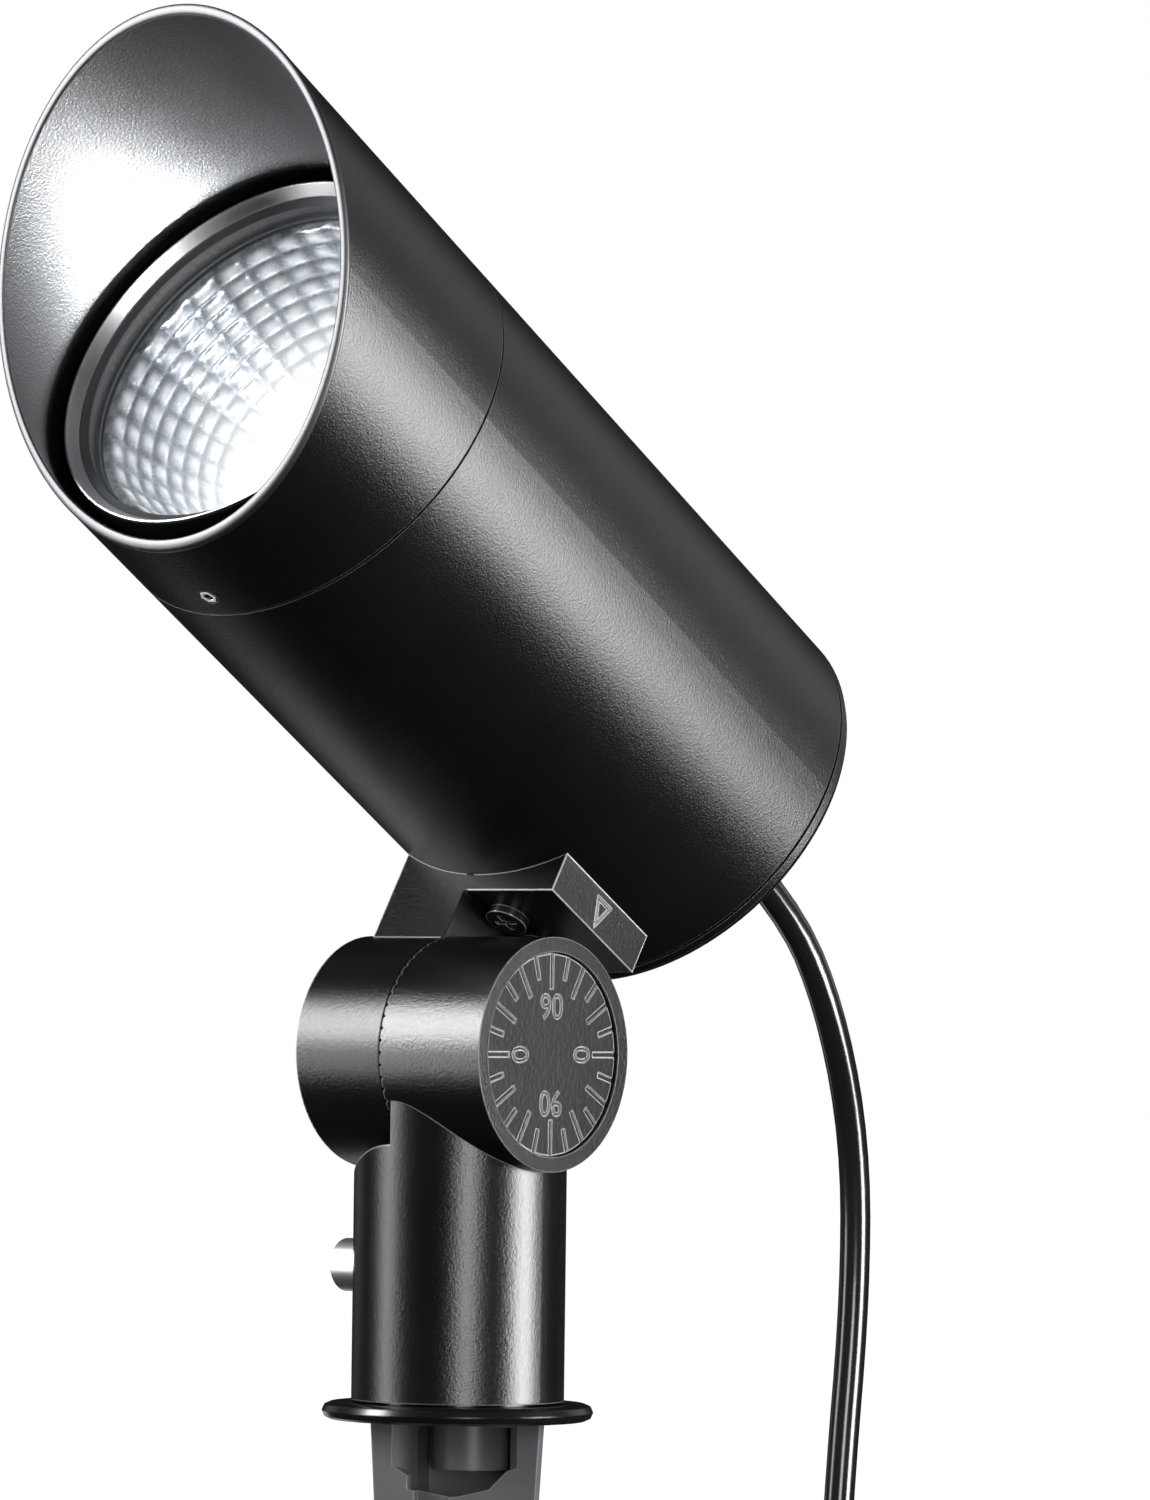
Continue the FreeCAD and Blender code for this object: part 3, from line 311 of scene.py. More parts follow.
# %% Turning lines
turning, entry, leave, place = effect_group(
    "turning_lines", {"Scale": 900.0, "Stretch": 0.02}, ("Height",))
stretch = turning.nodes.new("ShaderNodeCombineXYZ")
turning.links.new(entry.outputs["Stretch"], stretch.inputs["X"])
turning.links.new(entry.outputs["Stretch"], stretch.inputs["Y"])
stretch.inputs["Z"].default_value = 1.0
squeeze = turning.nodes.new("ShaderNodeVectorMath")
squeeze.operation = "MULTIPLY"
turning.links.new(place, squeeze.inputs[0])
turning.links.new(stretch.outputs[0], squeeze.inputs[1])
lines = noise(turning, squeeze.outputs[0], entry.outputs["Scale"], 2.0, 0.5)
turning.links.new(lines, leave.inputs["Height"])
print("groups", [g.name for g in bpy.data.node_groups])

# %% [markdown]
# A material is a chain of small steps: place an effect, blend two colours by its mask, or turn the
# mask into a range of numbers. Each step is a helper, so that a finish reads like a recipe.

# %% Helpers for materials
def use_group(tree, group, **values):
    """Places an effect in a material and sets its inputs."""
    node = tree.nodes.new("ShaderNodeGroup")
    node.node_tree = group
    for title, value in values.items():
        node.inputs[title].default_value = value
    return node


def blend_colour(tree, mask, low, high):
    """One colour where the mask is 0 and the other where it is 1."""
    mix = tree.nodes.new("ShaderNodeMix")
    mix.data_type = "RGBA"
    tree.links.new(mask, mix.inputs["Factor"])
    for slot, value in ((mix.inputs[6], low), (mix.inputs[7], high)):
        if isinstance(value, tuple):
            slot.default_value = (*value, 1)
        else:
            tree.links.new(value, slot)
    return mix.outputs[2]


def span(tree, mask, low, high):
    """A mask from 0 to 1 as a number from low to high."""
    node = tree.nodes.new("ShaderNodeMapRange")
    tree.links.new(mask, node.inputs["Value"])
    node.inputs["To Min"].default_value = low
    node.inputs["To Max"].default_value = high
    return node.outputs["Result"]


def new_material(name):
    """A material with its node tree and its main shader."""
    made = bpy.data.materials.new(name)
    made.use_nodes = True
    return made, made.node_tree, made.node_tree.nodes["Principled BSDF"]


print("helpers: use_group, blend_colour, span, new_material")

# %% [markdown]
# Sharp edges get a painted highlight: a lighter base colour along them stands in for the light that
# a rounded edge catches. The Bevel node rounds edges for the light only. Where its rounded normal
# leaves the true one, there is an edge, so the dot product of the two gives the mask. A toothed seam
# has too many edges to be bright, so a strip round it is left without the painted highlight.

# %% Painted edge highlights
# The painted edge highlight starts at EDGE_STARTS and is full at EDGE_FULL.
EDGE_STARTS, EDGE_FULL = 0.99, 0.92
SEAM_STRIP = 0.9 * MM


def painted_edge_highlight(tree, rounded, seam):
    """The painted edge highlight's mask: 1 on sharp edges and 0 on flat skin and beside the seam, which
    lies across X.
    """
    true = tree.nodes.new("ShaderNodeNewGeometry")
    dot = tree.nodes.new("ShaderNodeVectorMath")
    dot.operation = "DOT_PRODUCT"
    tree.links.new(rounded, dot.inputs[0])
    tree.links.new(true.outputs["Normal"], dot.inputs[1])
    edge_highlight = tree.nodes.new("ShaderNodeMapRange")
    tree.links.new(dot.outputs["Value"], edge_highlight.inputs["Value"])
    edge_highlight.inputs["From Min"].default_value = EDGE_STARTS
    edge_highlight.inputs["From Max"].default_value = EDGE_FULL
    if seam is None:
        return edge_highlight.outputs["Result"]
    spot = tree.nodes.new("ShaderNodeTexCoord")
    sides = tree.nodes.new("ShaderNodeSeparateXYZ")
    tree.links.new(spot.outputs["Object"], sides.inputs[0])
    away = maths(tree, "ABSOLUTE", maths(tree, "SUBTRACT", sides.outputs["X"], seam * MM))
    outside = maths(tree, "GREATER_THAN", away, SEAM_STRIP)
    return maths(tree, "MULTIPLY", edge_highlight.outputs["Result"], outside)


print("edges wear from", EDGE_STARTS, "to", EDGE_FULL)

# %% [markdown]
# One function makes every solid finish. The colour and the roughness drift with the handling marks,
# the grain or the turning lines give the bump, and the rounded edges feed both the bump and the mask
# of the painted edge highlight. Sizes of edges and bumps are in millimetres.

# %% A finish
BEVEL_SAMPLES = 4


def finish(name, colour, lighter, rough, metallic=0.0, grain_scale=2400.0, grain_depth=0.03,
           edge=0.35, painted_edge_colour=None, coat=0.0, lines=False, specular=0.5, pits=0.4, seam=None):
    made, tree, shader = new_material(name)
    shader.inputs["Metallic"].default_value = metallic
    shader.inputs["Coat Weight"].default_value = coat
    shader.inputs["Coat Roughness"].default_value = 0.08
    shader.inputs["Specular IOR Level"].default_value = specular
    cloudy = use_group(tree, marks, Scale=30.0, Contrast=1.3)
    skin = use_group(tree, grain, Scale=grain_scale, Pits=pits)
    tint = blend_colour(tree, cloudy.outputs["Mask"], colour, lighter)
    rounded = tree.nodes.new("ShaderNodeBevel")
    rounded.samples = BEVEL_SAMPLES
    rounded.inputs["Radius"].default_value = edge * MM
    # A lighter base colour on sharp edges is a painted highlight.
    if painted_edge_colour:
        edge_highlight_mask = painted_edge_highlight(tree, rounded.outputs[0], seam)
        tint = blend_colour(tree, edge_highlight_mask, tint, painted_edge_colour)
    tree.links.new(tint, shader.inputs["Base Color"])
    low, high = rough
    tree.links.new(span(tree, cloudy.outputs["Mask"], low, high), shader.inputs["Roughness"])
    bump = tree.nodes.new("ShaderNodeBump")
    bump.inputs["Distance"].default_value = grain_depth * MM
    height = use_group(tree, turning).outputs["Height"] if lines else skin.outputs["Height"]
    tree.links.new(height, bump.inputs["Height"])
    tree.links.new(rounded.outputs[0], bump.inputs["Normal"])
    tree.links.new(bump.outputs[0], shader.inputs["Normal"])
    return made


print("helper: finish, with", BEVEL_SAMPLES, "samples for each rounded edge")

# %% [markdown]
# The lamp is black all over, but not one black. The head is powder coated and softly shiny, the
# cast bracket and the stem are smoother, the dial is dull so that its scale can be read, and the
# collar is glossy. What tells them apart is mostly the roughness and how bright the painted edge
# highlights are.

# %% Black paints
TOOTHED_SEAM = -2.1
powder_black = finish("powder_black", (0.002, 0.002, 0.002), (0.004, 0.004, 0.0045), (0.28, 0.34),
                      grain_scale=3000.0, grain_depth=0.055, edge=0.3, painted_edge_colour=(0.12, 0.12, 0.125))
cast_black = finish("cast_black", (0.002, 0.002, 0.002), (0.005, 0.005, 0.0055), (0.23, 0.29),
                    grain_scale=2600.0, grain_depth=0.05, edge=0.5, painted_edge_colour=(0.85, 0.85, 0.86),
                    specular=0.4, seam=TOOTHED_SEAM)
stem_black = finish("stem_black", (0.002, 0.002, 0.002), (0.004, 0.004, 0.0045), (0.22, 0.27),
                    grain_scale=2600.0, grain_depth=0.05, edge=0.35, painted_edge_colour=(0.30, 0.30, 0.31))
dial_black = finish("dial_black", (0.005, 0.005, 0.005), (0.016, 0.016, 0.017), (0.30, 0.40),
                    grain_scale=1300.0, grain_depth=0.07, edge=0.32, painted_edge_colour=(0.85, 0.85, 0.86),
                    specular=0.2)
gloss_black = finish("gloss_black", (0.003, 0.003, 0.0035), (0.006, 0.006, 0.007), (0.20, 0.27),
                     grain_depth=0.004, coat=0.08, edge=0.4)
print("paints", len(bpy.data.materials))

# %% [markdown]
# Bare metal shows on the mouth's rim, the bezel's bevel, the button, the screws and the plug's pins.
# Most of it is fully metallic. The oxide of the screws is only partly so, with a painted highlight on
# its edges, and the painted highlight on the lock screw's socket is pale and matt without any metal,
# so that it stays visible in the dark.

# %% Metals
bright_rim = finish("bright_rim", (0.09, 0.09, 0.095), (0.14, 0.14, 0.145), (0.40, 0.50), metallic=1.0,
                    grain_depth=0.006, edge=0.2)
bright_metal = finish("bright_metal", (0.72, 0.73, 0.75), (0.88, 0.88, 0.9), (0.30, 0.40), metallic=1.0,
                      grain_depth=0.008, edge=0.2)
painted_socket_highlight = finish("painted_socket_highlight", (0.72, 0.72, 0.70), (0.85, 0.85, 0.83), (0.5, 0.6),
                   grain_depth=0.01, edge=0.05)
turned_steel = finish("turned_steel", (0.85, 0.85, 0.86), (0.93, 0.93, 0.94), (0.34, 0.42),
                      metallic=1.0, grain_depth=0.004, edge=0.5, lines=True)
plated_steel = finish("plated_steel", (0.45, 0.45, 0.44), (0.6, 0.6, 0.58), (0.25, 0.4), metallic=1.0,
                      grain_depth=0.01)
black_oxide = finish("black_oxide", (0.008, 0.008, 0.009), (0.02, 0.02, 0.021), (0.2, 0.3),
                     metallic=0.4, grain_depth=0.01, edge=0.3, painted_edge_colour=(0.75, 0.75, 0.75))
milled_aluminium = finish("milled_aluminium", (0.62, 0.62, 0.63), (0.75, 0.75, 0.76), (0.28, 0.42),
                          metallic=1.0, grain_depth=0.01, lines=True)
blade_metal = finish("blade_metal", (0.66, 0.63, 0.55), (0.78, 0.75, 0.68), (0.18, 0.3),
                     metallic=1.0, grain_depth=0.006, edge=0.35)
print("paints and metals", len(bpy.data.materials))

# %% [markdown]
# Rubber and plastic don't mirror much. The stake is a dark grey with a coarse grain, the gland and
# the plug are dull, and the cord's jacket has a thin gloss over it. The stake, the gland and the plug
# have faint painted highlights on their edges.

# %% Rubber and plastics
gasket_rubber = finish("gasket_rubber", (0.04, 0.042, 0.045), (0.09, 0.092, 0.095), (0.4, 0.55),
                       grain_depth=0.03)
stake_plastic = finish("stake_plastic", (0.075, 0.077, 0.082), (0.115, 0.118, 0.124), (0.36, 0.48),
                       grain_scale=900.0, grain_depth=0.02, edge=0.4, painted_edge_colour=(0.22, 0.22, 0.23))
gland_nylon = finish("gland_nylon", (0.012, 0.012, 0.012), (0.022, 0.022, 0.022), (0.4, 0.5),
                     grain_depth=0.015, edge=0.4, painted_edge_colour=(0.05, 0.05, 0.05))
plug_rubber = finish("plug_rubber", (0.016, 0.016, 0.017), (0.03, 0.03, 0.031), (0.42, 0.56),
                     grain_scale=1100.0, grain_depth=0.06, edge=0.7, painted_edge_colour=(0.05, 0.05, 0.05))
cord_rubber = finish("cord_rubber", (0.005, 0.005, 0.0055), (0.010, 0.010, 0.011), (0.16, 0.24),
                     grain_scale=700.0, grain_depth=0.006, coat=0.3)
print("with rubber and plastics", len(bpy.data.materials))

# %% [markdown]
# The inside is out of sight in the closed lamp, but a reader who opens it should find a green board,
# yellow winding tape and blue can sleeves, as in a real driver.

# %% Finishes of the inside
board_mask = finish("board_mask", (0.7, 0.7, 0.68), (0.8, 0.8, 0.78), (0.35, 0.45), grain_depth=0.004)
holder_plastic = finish("holder_plastic", (0.7, 0.7, 0.7), (0.8, 0.8, 0.8), (0.4, 0.5), grain_depth=0.01)
pcb_green = finish("pcb_green", (0.01, 0.09, 0.03), (0.02, 0.14, 0.05), (0.3, 0.4), grain_depth=0.01)
moulded_black = finish("moulded_black", (0.015, 0.015, 0.015), (0.025, 0.025, 0.025), (0.4, 0.5))
winding_tape = finish("winding_tape", (0.6, 0.45, 0.05), (0.75, 0.58, 0.1), (0.3, 0.4), grain_depth=0.01)
can_sleeve = finish("can_sleeve", (0.03, 0.04, 0.16), (0.05, 0.06, 0.22), (0.2, 0.3), grain_depth=0.005)
carrier_grey = finish("carrier_grey", (0.3, 0.3, 0.3), (0.38, 0.38, 0.38), (0.45, 0.55))
wire_red = finish("wire_red", (0.45, 0.03, 0.02), (0.55, 0.05, 0.03), (0.25, 0.35), grain_depth=0.004)
print("finishes", len(bpy.data.materials))

# %% [markdown]
# The front glass is flat and clear. Its surface is mostly see-through by its alpha, and what is left
# mirrors softly, with a few cloudy marks.

# %% Clear glass
def glass(name):
    made, tree, shader = new_material(name)
    shader.inputs["Base Color"].default_value = (0.55, 0.6, 0.65, 1)
    shader.inputs["IOR"].default_value = 1.5
    cloudy = use_group(tree, marks, Scale=60.0, Contrast=1.2)
    tree.links.new(span(tree, cloudy.outputs["Mask"], 0.03, 0.09), shader.inputs["Roughness"])
    tree.links.new(span(tree, cloudy.outputs["Mask"], 0.05, 0.10), shader.inputs["Alpha"])
    return made


clear_glass = glass("clear_glass")
print("glass", clear_glass.name)

# %% [markdown]
# The chip's phosphor is a yellow powder in clear resin, and it shines. Its grain tints both its
# colour and its light.

# %% Phosphor
def glowing(name, colour, strength):
    made, tree, shader = new_material(name)
    skin = use_group(tree, grain, Scale=1500.0)
    tint = blend_colour(tree, skin.outputs["Height"], colour, (1.0, 0.98, 0.92))
    tree.links.new(tint, shader.inputs["Base Color"])
    tree.links.new(tint, shader.inputs["Emission Color"])
    shader.inputs["Emission Strength"].default_value = strength
    return made


phosphor = glowing("phosphor", (1.0, 0.85, 0.45), 12.0)
print("phosphor", phosphor.name)

# %% [markdown]
# The reflector is bright metal that is dimpled, with cloudy patches and fine specks. Its material
# glows with painted light: brighter the deeper it lies, where the real bowl collects the lamp's light,
# and on the crown of each dimple, with a faint painted glow in the cloudy patches and painted glints
# on the specks. Depth and dimples are stored on its own mesh as attributes, which the material reads
# by name.

# %% Reflector metal with painted glow
DEEP_POWER, DEEP_GLOW = 3.2, 2.4
CROWN_POWER, CROWN_GLOW = 3.0, 0.55
HAZE_GLOW = 0.13
SPECK_GLOW = 0.10


def dimpled_metal(name):
    made, tree, shader = new_material(name)
    shader.inputs["Metallic"].default_value = 1.0
    depth = tree.nodes.new("ShaderNodeAttribute")
    depth.attribute_name = "depth"
    dimple = tree.nodes.new("ShaderNodeAttribute")
    dimple.attribute_name = "dimple"
    skin = use_group(tree, grain, Scale=1300.0, Pits=0.5)
    cloudy = use_group(tree, marks, Scale=260.0, Contrast=3.2)
    tint = blend_colour(tree, cloudy.outputs["Mask"], (0.22, 0.24, 0.27), (0.46, 0.49, 0.53))
    tree.links.new(tint, shader.inputs["Base Color"])
    tree.links.new(span(tree, cloudy.outputs["Mask"], 0.34, 0.20), shader.inputs["Roughness"])
    # The emission is painted light: a glow by depth, on the dimples' crowns, in the clouds and on
    # specks.
    lit = maths(tree, "POWER", depth.outputs["Fac"], DEEP_POWER)
    lit = maths(tree, "MULTIPLY", lit, DEEP_GLOW)
    painted_crown_glow = maths(tree, "POWER", dimple.outputs["Fac"], CROWN_POWER)
    painted_crown_glow = maths(tree, "MULTIPLY", painted_crown_glow, CROWN_GLOW)
    painted_haze_glow = maths(tree, "MULTIPLY", cloudy.outputs["Mask"], HAZE_GLOW)
    painted_speck_glint = maths(tree, "MULTIPLY", skin.outputs["Speck"], SPECK_GLOW)
    painted_haze_glow = maths(tree, "ADD", painted_haze_glow, painted_speck_glint)
    glow = maths(tree, "ADD", maths(tree, "ADD", lit, painted_crown_glow), painted_haze_glow)
    mix = tree.nodes.new("ShaderNodeVectorMath")
    mix.operation = "SCALE"
    mix.inputs[0].default_value = (0.96, 0.985, 1.0)
    tree.links.new(glow, mix.inputs["Scale"])
    tree.links.new(mix.outputs[0], shader.inputs["Emission Color"])
    shader.inputs["Emission Strength"].default_value = 1.0
    bump = tree.nodes.new("ShaderNodeBump")
    bump.inputs["Distance"].default_value = 0.05 * MM
    tree.links.new(skin.outputs["Height"], bump.inputs["Height"])
    tree.links.new(bump.outputs[0], shader.inputs["Normal"])
    return made


reflector_metal = dimpled_metal("reflector_metal")
print("materials", len(bpy.data.materials))

# %% [markdown]
# Most CAD nodes keep their shape and only need a finish in their material slots. A dictionary says
# which node gets which, so the whole lamp can be repainted in one place.

# %% Finishes on the CAD nodes
NODE_FINISH = {
    "glare_shroud": powder_black, "head_housing": powder_black, "rear_cap": powder_black,
    "shroud_lock_screw": black_oxide, "lens_glass": clear_glass, "lens_gasket": gasket_rubber,
    "led_chip": phosphor, "led_board": board_mask, "led_holder": holder_plastic,
    "heat_spreader": milled_aluminium, "driver_carrier": carrier_grey, "driver_board": pcb_green,
    "driver_transformer": winding_tape, "driver_capacitors": can_sleeve,
    "driver_chips": moulded_black, "supply_leads": wire_red, "lamp_leads": wire_red,
    "rear_cap_seal": gasket_rubber, "rear_cap_screws": black_oxide, "cable_gland": gland_nylon,
    "gland_lock_nut": gland_nylon, "bend_relief": gland_nylon, "knuckle_bracket": cast_black,
    "bracket_screws": black_oxide, "stem": stem_black, "pivot_bolt": black_oxide,
    "pivot_washer": plated_steel, "pivot_nut": plated_steel, "snap_button": turned_steel,
    "stake_collar": gloss_black, "ground_stake": stake_plastic, "stake_screw": plated_steel,
    "plug_relief": plug_rubber, "plug_blades": blade_metal, "plug_ground_pin": blade_metal,
}
for node_name, look in NODE_FINISH.items():
    mesh = frame["nodes"][node_name].data
    mesh.materials.clear()
    mesh.materials.append(look)
cord.data.materials.clear()
cord.data.materials.append(cord_rubber)
print("dressed nodes", len(NODE_FINISH))

# %% [markdown]
# Many pieces are skins over a row of rings: a bezel, a bead, a plug, a band. One helper joins each
# ring of corners to the next with quads, and another turns all faces outwards and makes the mesh.

# %% Skins over rings
def skin_rings(bm, rings, closed=True, smooth=True):
    """Quads between each ring and the next, and between the last and the first if it is closed."""
    rows = []
    for near, far in zip(rings, rings[1:] + rings[:1] if closed else rings[1:]):
        row = []
        for i in range(len(near)):
            j = (i + 1) % len(near)
            face = bm.faces.new((near[i], near[j], far[j], far[i]))
            face.smooth = smooth
            row.append(face)
        rows.append(row)
    return rows


def outward_mesh(bm, name, place=None):
    """The finished mesh with its faces outwards, moved to its place."""
    bmesh.ops.recalc_face_normals(bm, faces=bm.faces)
    mesh = bpy.data.meshes.new(name)
    bm.to_mesh(mesh)
    bm.free()
    if place:
        mesh.transform(place)
    return mesh


print("helpers: skin_rings, outward_mesh")

# %% [markdown]
# Round pieces are turned: a profile of radius and height is spun about an axis. The bezel holds the
# glass. Its outside is black and its inner bevel is bright, so each stretch of the profile may have
# a material of its own.

# %% Lens bezel
SPIN_STEPS = 192
CREASE = math.radians(25)


def turned(name, profile, looks, place):
    """Spins a closed profile of (radius, height, material index) corners, in millimetres."""
    bm = bmesh.new()
    rings = []
    for radius, height, _ in profile:
        ring = []
        for i in range(SPIN_STEPS):
            angle = 2 * math.pi * i / SPIN_STEPS
            corner = Vector((radius * math.cos(angle), radius * math.sin(angle), height)) * MM
            ring.append(bm.verts.new(corner))
        rings.append(ring)
    for row, (_, _, look_index) in zip(skin_rings(bm, rings), profile):
        for face in row:
            face.material_index = look_index
    mesh = outward_mesh(bm, name, place)
    for look in looks:
        mesh.materials.append(look)
    mesh.set_sharp_from_angle(angle=CREASE)
    return mesh


bezel = add_piece("lens_bezel_ring", turned("lens_bezel_ring", [
    (39.6, 117.6, 0), (40.95, 117.6, 0), (40.95, 131.1, 0), (40.75, 131.5, 1), (40.35, 131.55, 1),
    (38.75, 129.35, 1), (38.75, 128.95, 0), (39.6, 128.9, 0),
], (powder_black, bright_metal), head_frame), "head", "lens_bezel")
print("bezel faces", len(bezel.data.polygons))

# %% [markdown]
# The mouth of the shroud is a slanted cut through a tube, so its rim is an ellipse. The bare metal
# shows there. A small half-round bead is swept along it by code: at each angle the bead's points are
# placed on the slanted plane.

# %% Bright rim of the mouth
MOUTH_MIDDLE = 155.0
MOUTH_SLANT = math.tan(math.radians(31))
RIM_BEAD = [
    (43.22, -0.9), (43.22, 0.0), (43.32, 0.22), (43.6, 0.34), (44.3, 0.34), (44.75, 0.26),
    (44.98, 0.05), (45.03, -0.25), (45.03, -0.75), (44.9, -0.9),
]
RIM_STEPS = 256
bm = bmesh.new()
loops = []
for i in range(RIM_STEPS):
    angle = 2 * math.pi * i / RIM_STEPS
    loop = []
    for radius, rise in RIM_BEAD:
        x, y = radius * math.cos(angle), radius * math.sin(angle)
        loop.append(bm.verts.new(Vector((x, y, MOUTH_MIDDLE + MOUTH_SLANT * y + rise)) * MM))
    loops.append(loop)
skin_rings(bm, loops)
rim_mesh = outward_mesh(bm, "mouth_rim", head_frame)
rim_mesh.materials.append(bright_rim)
mouth_rim = add_piece("mouth_rim", rim_mesh, "shroud")
print("rim faces", len(rim_mesh.polygons))

# %% [markdown]
# The shroud's lock screw is tiny. The chamfer round its hexagon socket catches a bright highlight,
# which is painted on a thin hexagonal ring set on the screw's face.

# %% Painted highlight on the lock screw's chamfer
SCREW_AHEAD = 112.3
SCREW_FACE = -44.97
CHAMFER_PROFILE = ((1.15, 0.0), (1.2, -0.08), (1.72, -0.08), (1.8, 0.0))
bm = bmesh.new()
rings = []
for radius, lift in CHAMFER_PROFILE:
    ring = []
    for i in range(6):
        angle = math.pi * i / 3
        x, z = radius * math.cos(angle), radius * math.sin(angle)
        ring.append(bm.verts.new(Vector((x, SCREW_FACE + lift, SCREW_AHEAD + z)) * MM))
    rings.append(ring)
skin_rings(bm, rings, smooth=False)
chamfer_mesh = outward_mesh(bm, "lock_screw_chamfer", head_frame)
chamfer_mesh.materials.append(painted_socket_highlight)
chamfer = add_piece("lock_screw_chamfer", chamfer_mesh, "shroud")
print("chamfer faces", len(chamfer_mesh.polygons))

# %% [markdown]
# The reflector is a bowl of small convex dimples in columns and rows. That is a rule, so Geometry
# Nodes draw it: a flat grid is bent into a parabola, and each cell is pushed up into a pillow.

# %% Sockets and grid of the reflector
COLUMNS, ROWS = 32, 11
CELL_STEPS = 7


def tree_socket(tree, title, kind, value=None, way="INPUT"):
    """A named input or output of a Geometry Nodes tree."""
    socket = tree.interface.new_socket(title, in_out=way, socket_type=kind)
    if value is not None:
        socket.default_value = value
    return socket


bowl = bpy.data.node_groups.new("dimpled_bowl", "GeometryNodeTree")
tree_socket(bowl, "Geometry", "NodeSocketGeometry", way="OUTPUT")
for title, value in (("Columns", float(COLUMNS)), ("Rows", float(ROWS)), ("Throat", 10.5),
                     ("Rim", 35.6), ("Start", 88.6), ("Depth", 34.9), ("Pillow", 0.55)):
    tree_socket(bowl, title, "NodeSocketFloat", value)
tree_socket(bowl, "Material", "NodeSocketMaterial")
entry = bowl.nodes.new("NodeGroupInput")
leave = bowl.nodes.new("NodeGroupOutput")
grid = bowl.nodes.new("GeometryNodeMeshGrid")
grid.inputs["Size X"].default_value = 1.0
grid.inputs["Size Y"].default_value = 1.0
grid.inputs["Vertices X"].default_value = COLUMNS * CELL_STEPS + 1
grid.inputs["Vertices Y"].default_value = ROWS * CELL_STEPS + 1
spot = bowl.nodes.new("GeometryNodeInputPosition")
parts = bowl.nodes.new("ShaderNodeSeparateXYZ")
bowl.links.new(spot.outputs[0], parts.inputs[0])
across = maths(bowl, "ADD", parts.outputs["X"], 0.5)
along = maths(bowl, "ADD", parts.outputs["Y"], 0.5)
angle = maths(bowl, "MULTIPLY", across, 2 * math.pi)
print("grid cells", COLUMNS, "x", ROWS)

# %% [markdown]
# Across the grid goes round the bowl, and along it goes from the throat to the rim. The radius grows
# with the square root of the way along, which is a parabola. A product of two sine humps is a pillow
# in each cell, and its low power makes it fuller, so that only thin grooves stay between dimples.

# %% Parabola and pillows
PILLOW_FULLNESS = 0.6
PILLOW_FORWARD = 0.4


def hump(position, count):
    """0 at a cell's edges and 1 in its middle."""
    cell = maths(bowl, "FRACT", maths(bowl, "MULTIPLY", position, count))
    return maths(bowl, "SINE", maths(bowl, "MULTIPLY", cell, math.pi))


pillow = maths(bowl, "MULTIPLY", hump(across, entry.outputs["Columns"]),
                 hump(along, entry.outputs["Rows"]))
pillow = maths(bowl, "POWER", maths(bowl, "MAXIMUM", pillow, 0.0), PILLOW_FULLNESS)
reach = maths(bowl, "SUBTRACT", entry.outputs["Rim"], entry.outputs["Throat"])
radius = maths(bowl, "ADD", entry.outputs["Throat"],
                 maths(bowl, "MULTIPLY", reach, maths(bowl, "SQRT", along)))
raised = maths(bowl, "MULTIPLY", pillow, entry.outputs["Pillow"])
radius = maths(bowl, "SUBTRACT", radius, raised)
height = maths(bowl, "ADD", entry.outputs["Start"],
                 maths(bowl, "MULTIPLY", along, entry.outputs["Depth"]))
height = maths(bowl, "ADD", height, maths(bowl, "MULTIPLY", raised, PILLOW_FORWARD))
bent = bowl.nodes.new("ShaderNodeCombineXYZ")
bowl.links.new(maths(bowl, "MULTIPLY", radius, maths(bowl, "COSINE", angle)), bent.inputs["X"])
bowl.links.new(maths(bowl, "MULTIPLY", radius, maths(bowl, "SINE", angle)), bent.inputs["Y"])
bowl.links.new(height, bent.inputs["Z"])
metres = bowl.nodes.new("ShaderNodeVectorMath")
metres.operation = "SCALE"
metres.inputs["Scale"].default_value = MM
bowl.links.new(bent.outputs[0], metres.inputs[0])
print("bowl tree", len(bowl.nodes), "nodes")

# %% [markdown]
# The tree stores the depth and the dimples on the points before it moves them, since the grid is
# still flat there. Its first and last columns meet, so they are merged. It ends, as every tree here,
# in real geometry with a material.

# %% Attributes and the end of the tree
WELD_DISTANCE = 0.01 * MM


def stored(geometry, title, value):
    """The geometry with one more value on each point, which a material can read by its name."""
    node = bowl.nodes.new("GeometryNodeStoreNamedAttribute")
    node.data_type = "FLOAT"
    node.domain = "POINT"
    node.inputs["Name"].default_value = title
    bowl.links.new(geometry, node.inputs["Geometry"])
    bowl.links.new(value, node.inputs["Value"])
    return node.outputs["Geometry"]


shape = stored(grid.outputs["Mesh"], "depth", maths(bowl, "SUBTRACT", 1.0, along))
shape = stored(shape, "dimple", pillow)
move = bowl.nodes.new("GeometryNodeSetPosition")
bowl.links.new(shape, move.inputs["Geometry"])
bowl.links.new(metres.outputs[0], move.inputs["Position"])
weld = bowl.nodes.new("GeometryNodeMergeByDistance")
weld.inputs["Distance"].default_value = WELD_DISTANCE
soft = bowl.nodes.new("GeometryNodeSetShadeSmooth")
real = bowl.nodes.new("GeometryNodeRealizeInstances")
dress = bowl.nodes.new("GeometryNodeSetMaterial")
chain = [(move, weld), (weld, soft), (soft, real), (real, dress)]
for before, after in chain:
    bowl.links.new(before.outputs[0], after.inputs["Geometry"])
bowl.links.new(entry.outputs["Material"], dress.inputs["Material"])
bowl.links.new(dress.outputs[0], leave.inputs[0])
print("bowl tree", len(bowl.nodes), "nodes")

# %% [markdown]
# To run a tree, an empty object gets it as a modifier, and the modifier's inputs are set by the
# sockets' identifiers. The result is a plain mesh. The bowl is open at both ends, so its edges are
# drawn out into lips, and its normals are turned towards the beam, where the light comes from.

# %% Run the tree and close the bowl
RIM_LIP = 3.3
THROAT_LIP = 0.6
RIM_ABOVE = 0.1


